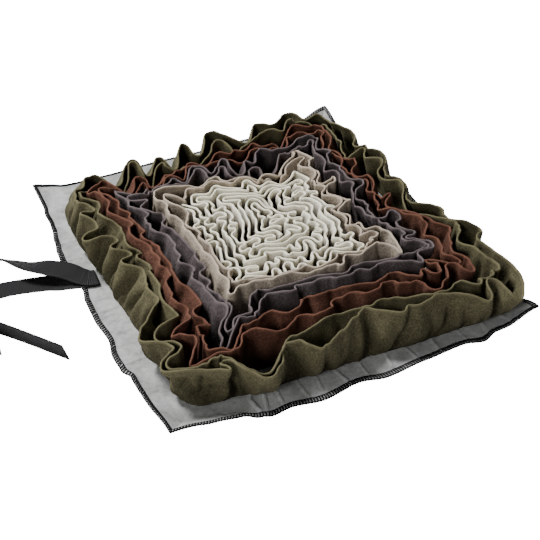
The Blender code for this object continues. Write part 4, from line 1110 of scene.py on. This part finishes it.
# Creases across the felt margin: x, y, heading in degrees, half length, half width, lift
CREASES = (
    (-193, 171, 4, 13, 1.2, 1.2), (-194, 128, -8, 11, 1.1, 1.0), (-198, 106, 8, 12, 1.3, 1.2),
    (-196, 74, -4, 10, 1.2, 0.9), (-197, -6, 2, 11, 1.3, 0.9), (-195, -27, 7, 14, 1.4, 1.5),
    (-197, -36, 14, 10, 1.0, 0.9), (-196, -84, -6, 12, 1.3, 1.1), (-197, -112, 4, 13, 1.2, 1.4),
    (-192, -160, -12, 12, 1.7, 0.9), (-112, -216, 96, 13, 1.7, 2.0), (-100, -215, 74, 12, 1.4, 1.7),
    (-86, -217, 84, 11, 1.2, 1.4), (-62, -219, 92, 14, 1.0, 1.4), (-44, -218, 80, 12, 1.2, 1.0),
    (-20, -219, 100, 13, 1.4, 1.4), (4, -218, 88, 12, 1.1, 1.0), (32, -220, 78, 13, 1.3, 1.2),
    (58, -219, 95, 12, 1.1, 1.0), (86, -219, 84, 13, 1.4, 1.2), (118, -219, 92, 12, 1.2, 1.0),
    (146, -217, 80, 12, 1.4, 1.2), (172, -216, 100, 12, 1.7, 1.0), (193, -150, 6, 12, 1.3, 1.2),
    (194, -90, -5, 12, 1.4, 1.2), (193, -20, 8, 12, 1.2, 1.0), (195, 46, -6, 12, 1.4, 1.2),
    (193, 120, 5, 12, 1.2, 1.0), (-120, 215, 88, 11, 1.3, 1.0), (-40, 218, 95, 12, 1.3, 1.2),
    (50, 219, 84, 12, 1.2, 1.0), (130, 218, 92, 12, 1.4, 1.2),
)


def creased(points):
    """Lifts points of the felt's underside over the creases near them."""
    points = np.array(points)
    for x, y, heading, half_long, half_wide, lift in CREASES:
        a = math.radians(heading)
        dx, dy = points[..., 0] - x, points[..., 1] - y
        along, across = dx * math.cos(a) + dy * math.sin(a), dy * math.cos(a) - dx * math.sin(a)
        points[..., 2] += lift * np.exp(-(along / half_long) ** 4 - (across / half_wide) ** 2)
    return points


def backing_piece(material, thread_material):
    rings = [margin_ring(share, BACKING_EDGE) for share in np.linspace(1.0, 0.0, MARGIN_RINGS)]
    rings += [rings[-1] * (k, k, 1) for k in MIDDLE_RINGS]
    middle = creased(np.stack(rings, axis=1)) + (0, 0, FELT / 2)
    verts, faces, _, _ = thick_sheet(middle, True, FELT, FELT)
    made = piece("felt_sheet", verts, faces, material, "backing")
    overlock = overlock_piece(thread_material)


def overlock_piece(material):
    """Overlocked edge: a cord along the sheet's edge, an inner line, and stitches between them."""
    outer = creased(margin_ring(1.0, STITCH_EDGE * PER_STITCH))
    inner = creased(margin_ring(STITCH_SHARE, STITCH_EDGE * PER_STITCH))
    away = unit((outer - inner) * (1, 1, 0))
    over = np.array((0.0, 0.0, FELT))
    strands = Strands()
    beads = np.arange(len(outer))
    cord = outer + away * 0.5 + over * 0.5
    strands.tube(cord[::2], CORD + CORD_BEAD * np.cos(beads[::2] * math.pi), 6, True)
    line = inner + over * 1.15
    strands.tube(line[::2], LINE + LINE_BEAD * np.cos(beads[::2] * math.pi / 2), 5, True)
    for k in range(0, len(outer), PER_STITCH):
        near, far = inner[k], outer[(k + 1) % len(outer)]
        out = away[(k + 1) % len(outer)]
        path = (near + over * 1.1, near * 0.5 + far * 0.5 + over * 1.32, far + over * 1.2,
                far + out * 0.9 + over * 0.7, far + out * 0.9 + over * 0.1)
        strands.tube(path, STITCH, 5)
    return strands.made("overlock_stitching", material, "backing", "felt")


# ---- tie ----
TIE_FINE = 2.0
TIE_COLUMNS = 9
BEND_ANGLES = (35, 65, 90, 115, 145)  # where the fold at its middle gets points
SEWN_AT = -193.5  # where the first line of stitches crosses the tie
SEWN_ROWS = (0, 3)  # steps along the tie to each line
SEWN_COUNT, SEWN_RADIUS = 8, 0.42


def smooth_route(rows, step):
    """Catmull-Rom through the rows, read at an even step."""
    rows = np.array(rows, float)
    ends = np.vstack((2 * rows[0] - rows[1], rows, 2 * rows[-1] - rows[-2]))
    line = []
    for a, b, c, d in zip(ends[:-3], ends[1:-2], ends[2:-1], ends[3:]):
        for t in np.linspace(0, 1, 12, endpoint=False):
            line.append(cubic(a, b, c, d, t))
    line.append(rows[-1])
    line = np.array(line)
    arc = arc_lengths(line[:, :2])
    return read_at(line, arc, np.linspace(0, arc[-1], int(round(arc[-1] / step)) + 1))


def band(rows, turned):
    """Middle surface of the webbing along a route; a turned run has its sides swapped."""
    line = smooth_route(rows, TIE_FINE)
    side = outward(line[:, :2], False)
    roll = np.radians(line[:, 3])
    wide = np.column_stack((side * np.cos(roll)[:, None], np.sin(roll))) * TIE_WIDTH / 2
    rise = line[:, 2] + np.abs(wide[:, 2]) + np.abs(np.cos(roll)) * TIE_THICK / 2
    middle = np.column_stack((line[:, :2], rise))
    share = np.linspace(-1, 1, TIE_COLUMNS) * (-1 if turned else 1)
    return middle[:, None] + wide[:, None] * share[None, :, None]


def tie_piece(material, thread_material):
    upper, lower = band(TIE_ROUTE, False), band(TIE_RETURN, True)
    gap = upper[-1] - lower[0]
    half = np.linalg.norm(gap, axis=1)[:, None] / 2
    centre = (upper[-1] + lower[0]) / 2
    bend = [centre + half * np.array((math.sin(a), 0, math.cos(a))) for a in np.radians(BEND_ANGLES)]
    middle = np.concatenate((upper, np.stack(bend), lower))
    verts, faces, row, column = thick_sheet(middle, False, TIE_THICK, TIE_THICK)
    run = arc_lengths(middle[:, TIE_COLUMNS // 2, :2])
    made = piece("webbing_tie", verts, faces, material, "tie",
                 {"along": run[row], "across": column * TIE_WIDTH / (TIE_COLUMNS - 1)})
    strands = Strands()
    nearest = np.argmin(np.abs(upper[:, TIE_COLUMNS // 2, 0] - SEWN_AT))
    lift = np.array((0.0, 0.0, TIE_THICK / 2))
    for shift in SEWN_ROWS:
        across = upper[nearest - shift]
        for k in range(SEWN_COUNT):
            share = (k + 0.9 + np.array((0.0, 0.68)))[:, None] / (SEWN_COUNT + 1.6)
            p, q = across[0] + (across[-1] - across[0]) * share
            path = (p + lift * 0.7, p * 0.75 + q * 0.25 + lift * 1.35,
                    p * 0.25 + q * 0.75 + lift * 1.35, q + lift * 0.7)
            strands.tube(path, SEWN_RADIUS, 5)
    stitches = strands.made("tie_stitching", thread_material, "tie", "webbing")


# ---- stage ----
def seen_brighter(tree, socket, strength, glow):
    """Makes a socket's light stronger where it is looked at than where it lights the mat."""
    path = node(tree, "ShaderNodeLightPath")
    more = node(tree, "ShaderNodeMath", operation="MULTIPLY_ADD")
    more.inputs[1].default_value = glow
    more.inputs[2].default_value = strength
    tree.links.new(path.outputs["Is Camera Ray"], more.inputs[0])
    tree.links.new(more.outputs[0], socket)


def placed(name, data, place, target=None):
    """A new object at a place, turned to look at a target."""
    thing = bpy.data.objects.new(name, data)
    thing.location = place
    if target is not None:
        thing.rotation_euler = (Vector(target) - Vector(place)).to_track_quat("-Z", "Y").to_euler()
    bpy.context.scene.collection.objects.link(thing)
    return thing


def stage():
    """The floor, the soft boxes, the sky and the camera."""
    floor = bpy.data.meshes.new("floor")
    corners = [(x * FLOOR_HALF, y * FLOOR_HALF, 0) for x, y in ((-1, -1), (1, -1), (1, 1), (-1, 1))]
    floor.from_pydata(corners, [], [(0, 1, 2, 3)])
    made, tree, surface = shader("floor")
    surface.inputs["Base Color"].default_value = (*FLOOR_COLOUR, 1.0)
    surface.inputs["Roughness"].default_value = 0.9
    surface.inputs["Emission Color"].default_value = (*WHITE, 1.0)
    seen_brighter(tree, surface.inputs["Emission Strength"], 0.0, FLOOR_GLOW)
    floor.materials.append(made)
    placed("floor", floor, (0.0, 0.0, FLOOR_AT))
    for name, place, size, power, target in SOFT_BOXES:
        light = bpy.data.lights.new(name, "AREA")
        light.size = size
        light.energy = power
        placed(name, light, place, target)
    world = bpy.data.worlds.new("sky")
    world.use_nodes = True
    background = world.node_tree.nodes["Background"]
    background.inputs["Color"].default_value = (*SKY, 1.0)
    seen_brighter(world.node_tree, background.inputs["Strength"], SKY_STRENGTH, FLOOR_GLOW)
    bpy.context.scene.world = world
    camera = bpy.data.cameras.new("camera")
    camera.lens = LENS
    camera.sensor_width = 36.0
    camera.clip_start = 0.01
    bpy.context.scene.camera = placed("camera", camera, CAMERA_AT, LOOKS_AT)


def settled_walls():
    """Each ruffle's seam, its outer and inner wall once settled, whether it is a ring, its width."""
    strips = [(*ring_walls(name, half_x, front, back, corner, crest), True, width, CLEARANCE)
              for name, half_x, front, back, corner, width, crest in RINGS]
    strips.append((*cream_walls(), False, CREAM_WALL, CREAM_CLEARANCE))
    plans = []
    for number, (base, outer, inner, closed, width, clearance) in enumerate(strips):
        pair = [Wall(number, closed, base, edge, side, width, clearance)
                for edge, side in ((outer, 1), (inner, -1))]
        plans.append((base, pair, closed, width))
    settle([wall for plan in plans for wall in plan[1]])
    return plans


def build():
    stage()
    backing_piece(felt(), thread("overlock_thread", THREAD_COLOUR))
    plans = settled_walls()
    room = rooms(plans)
    for seed, (look, (base, (outer, inner), closed, width)) in enumerate(zip(LOOKS, plans)):
        free = room[2 * seed:2 * seed + 2]
        ruffle_piece(base, outer.top, inner.top, free, closed, width, seed, look)
    tie_piece(webbing_material(), thread("tie_thread", TIE_THREAD_COLOUR))


build()
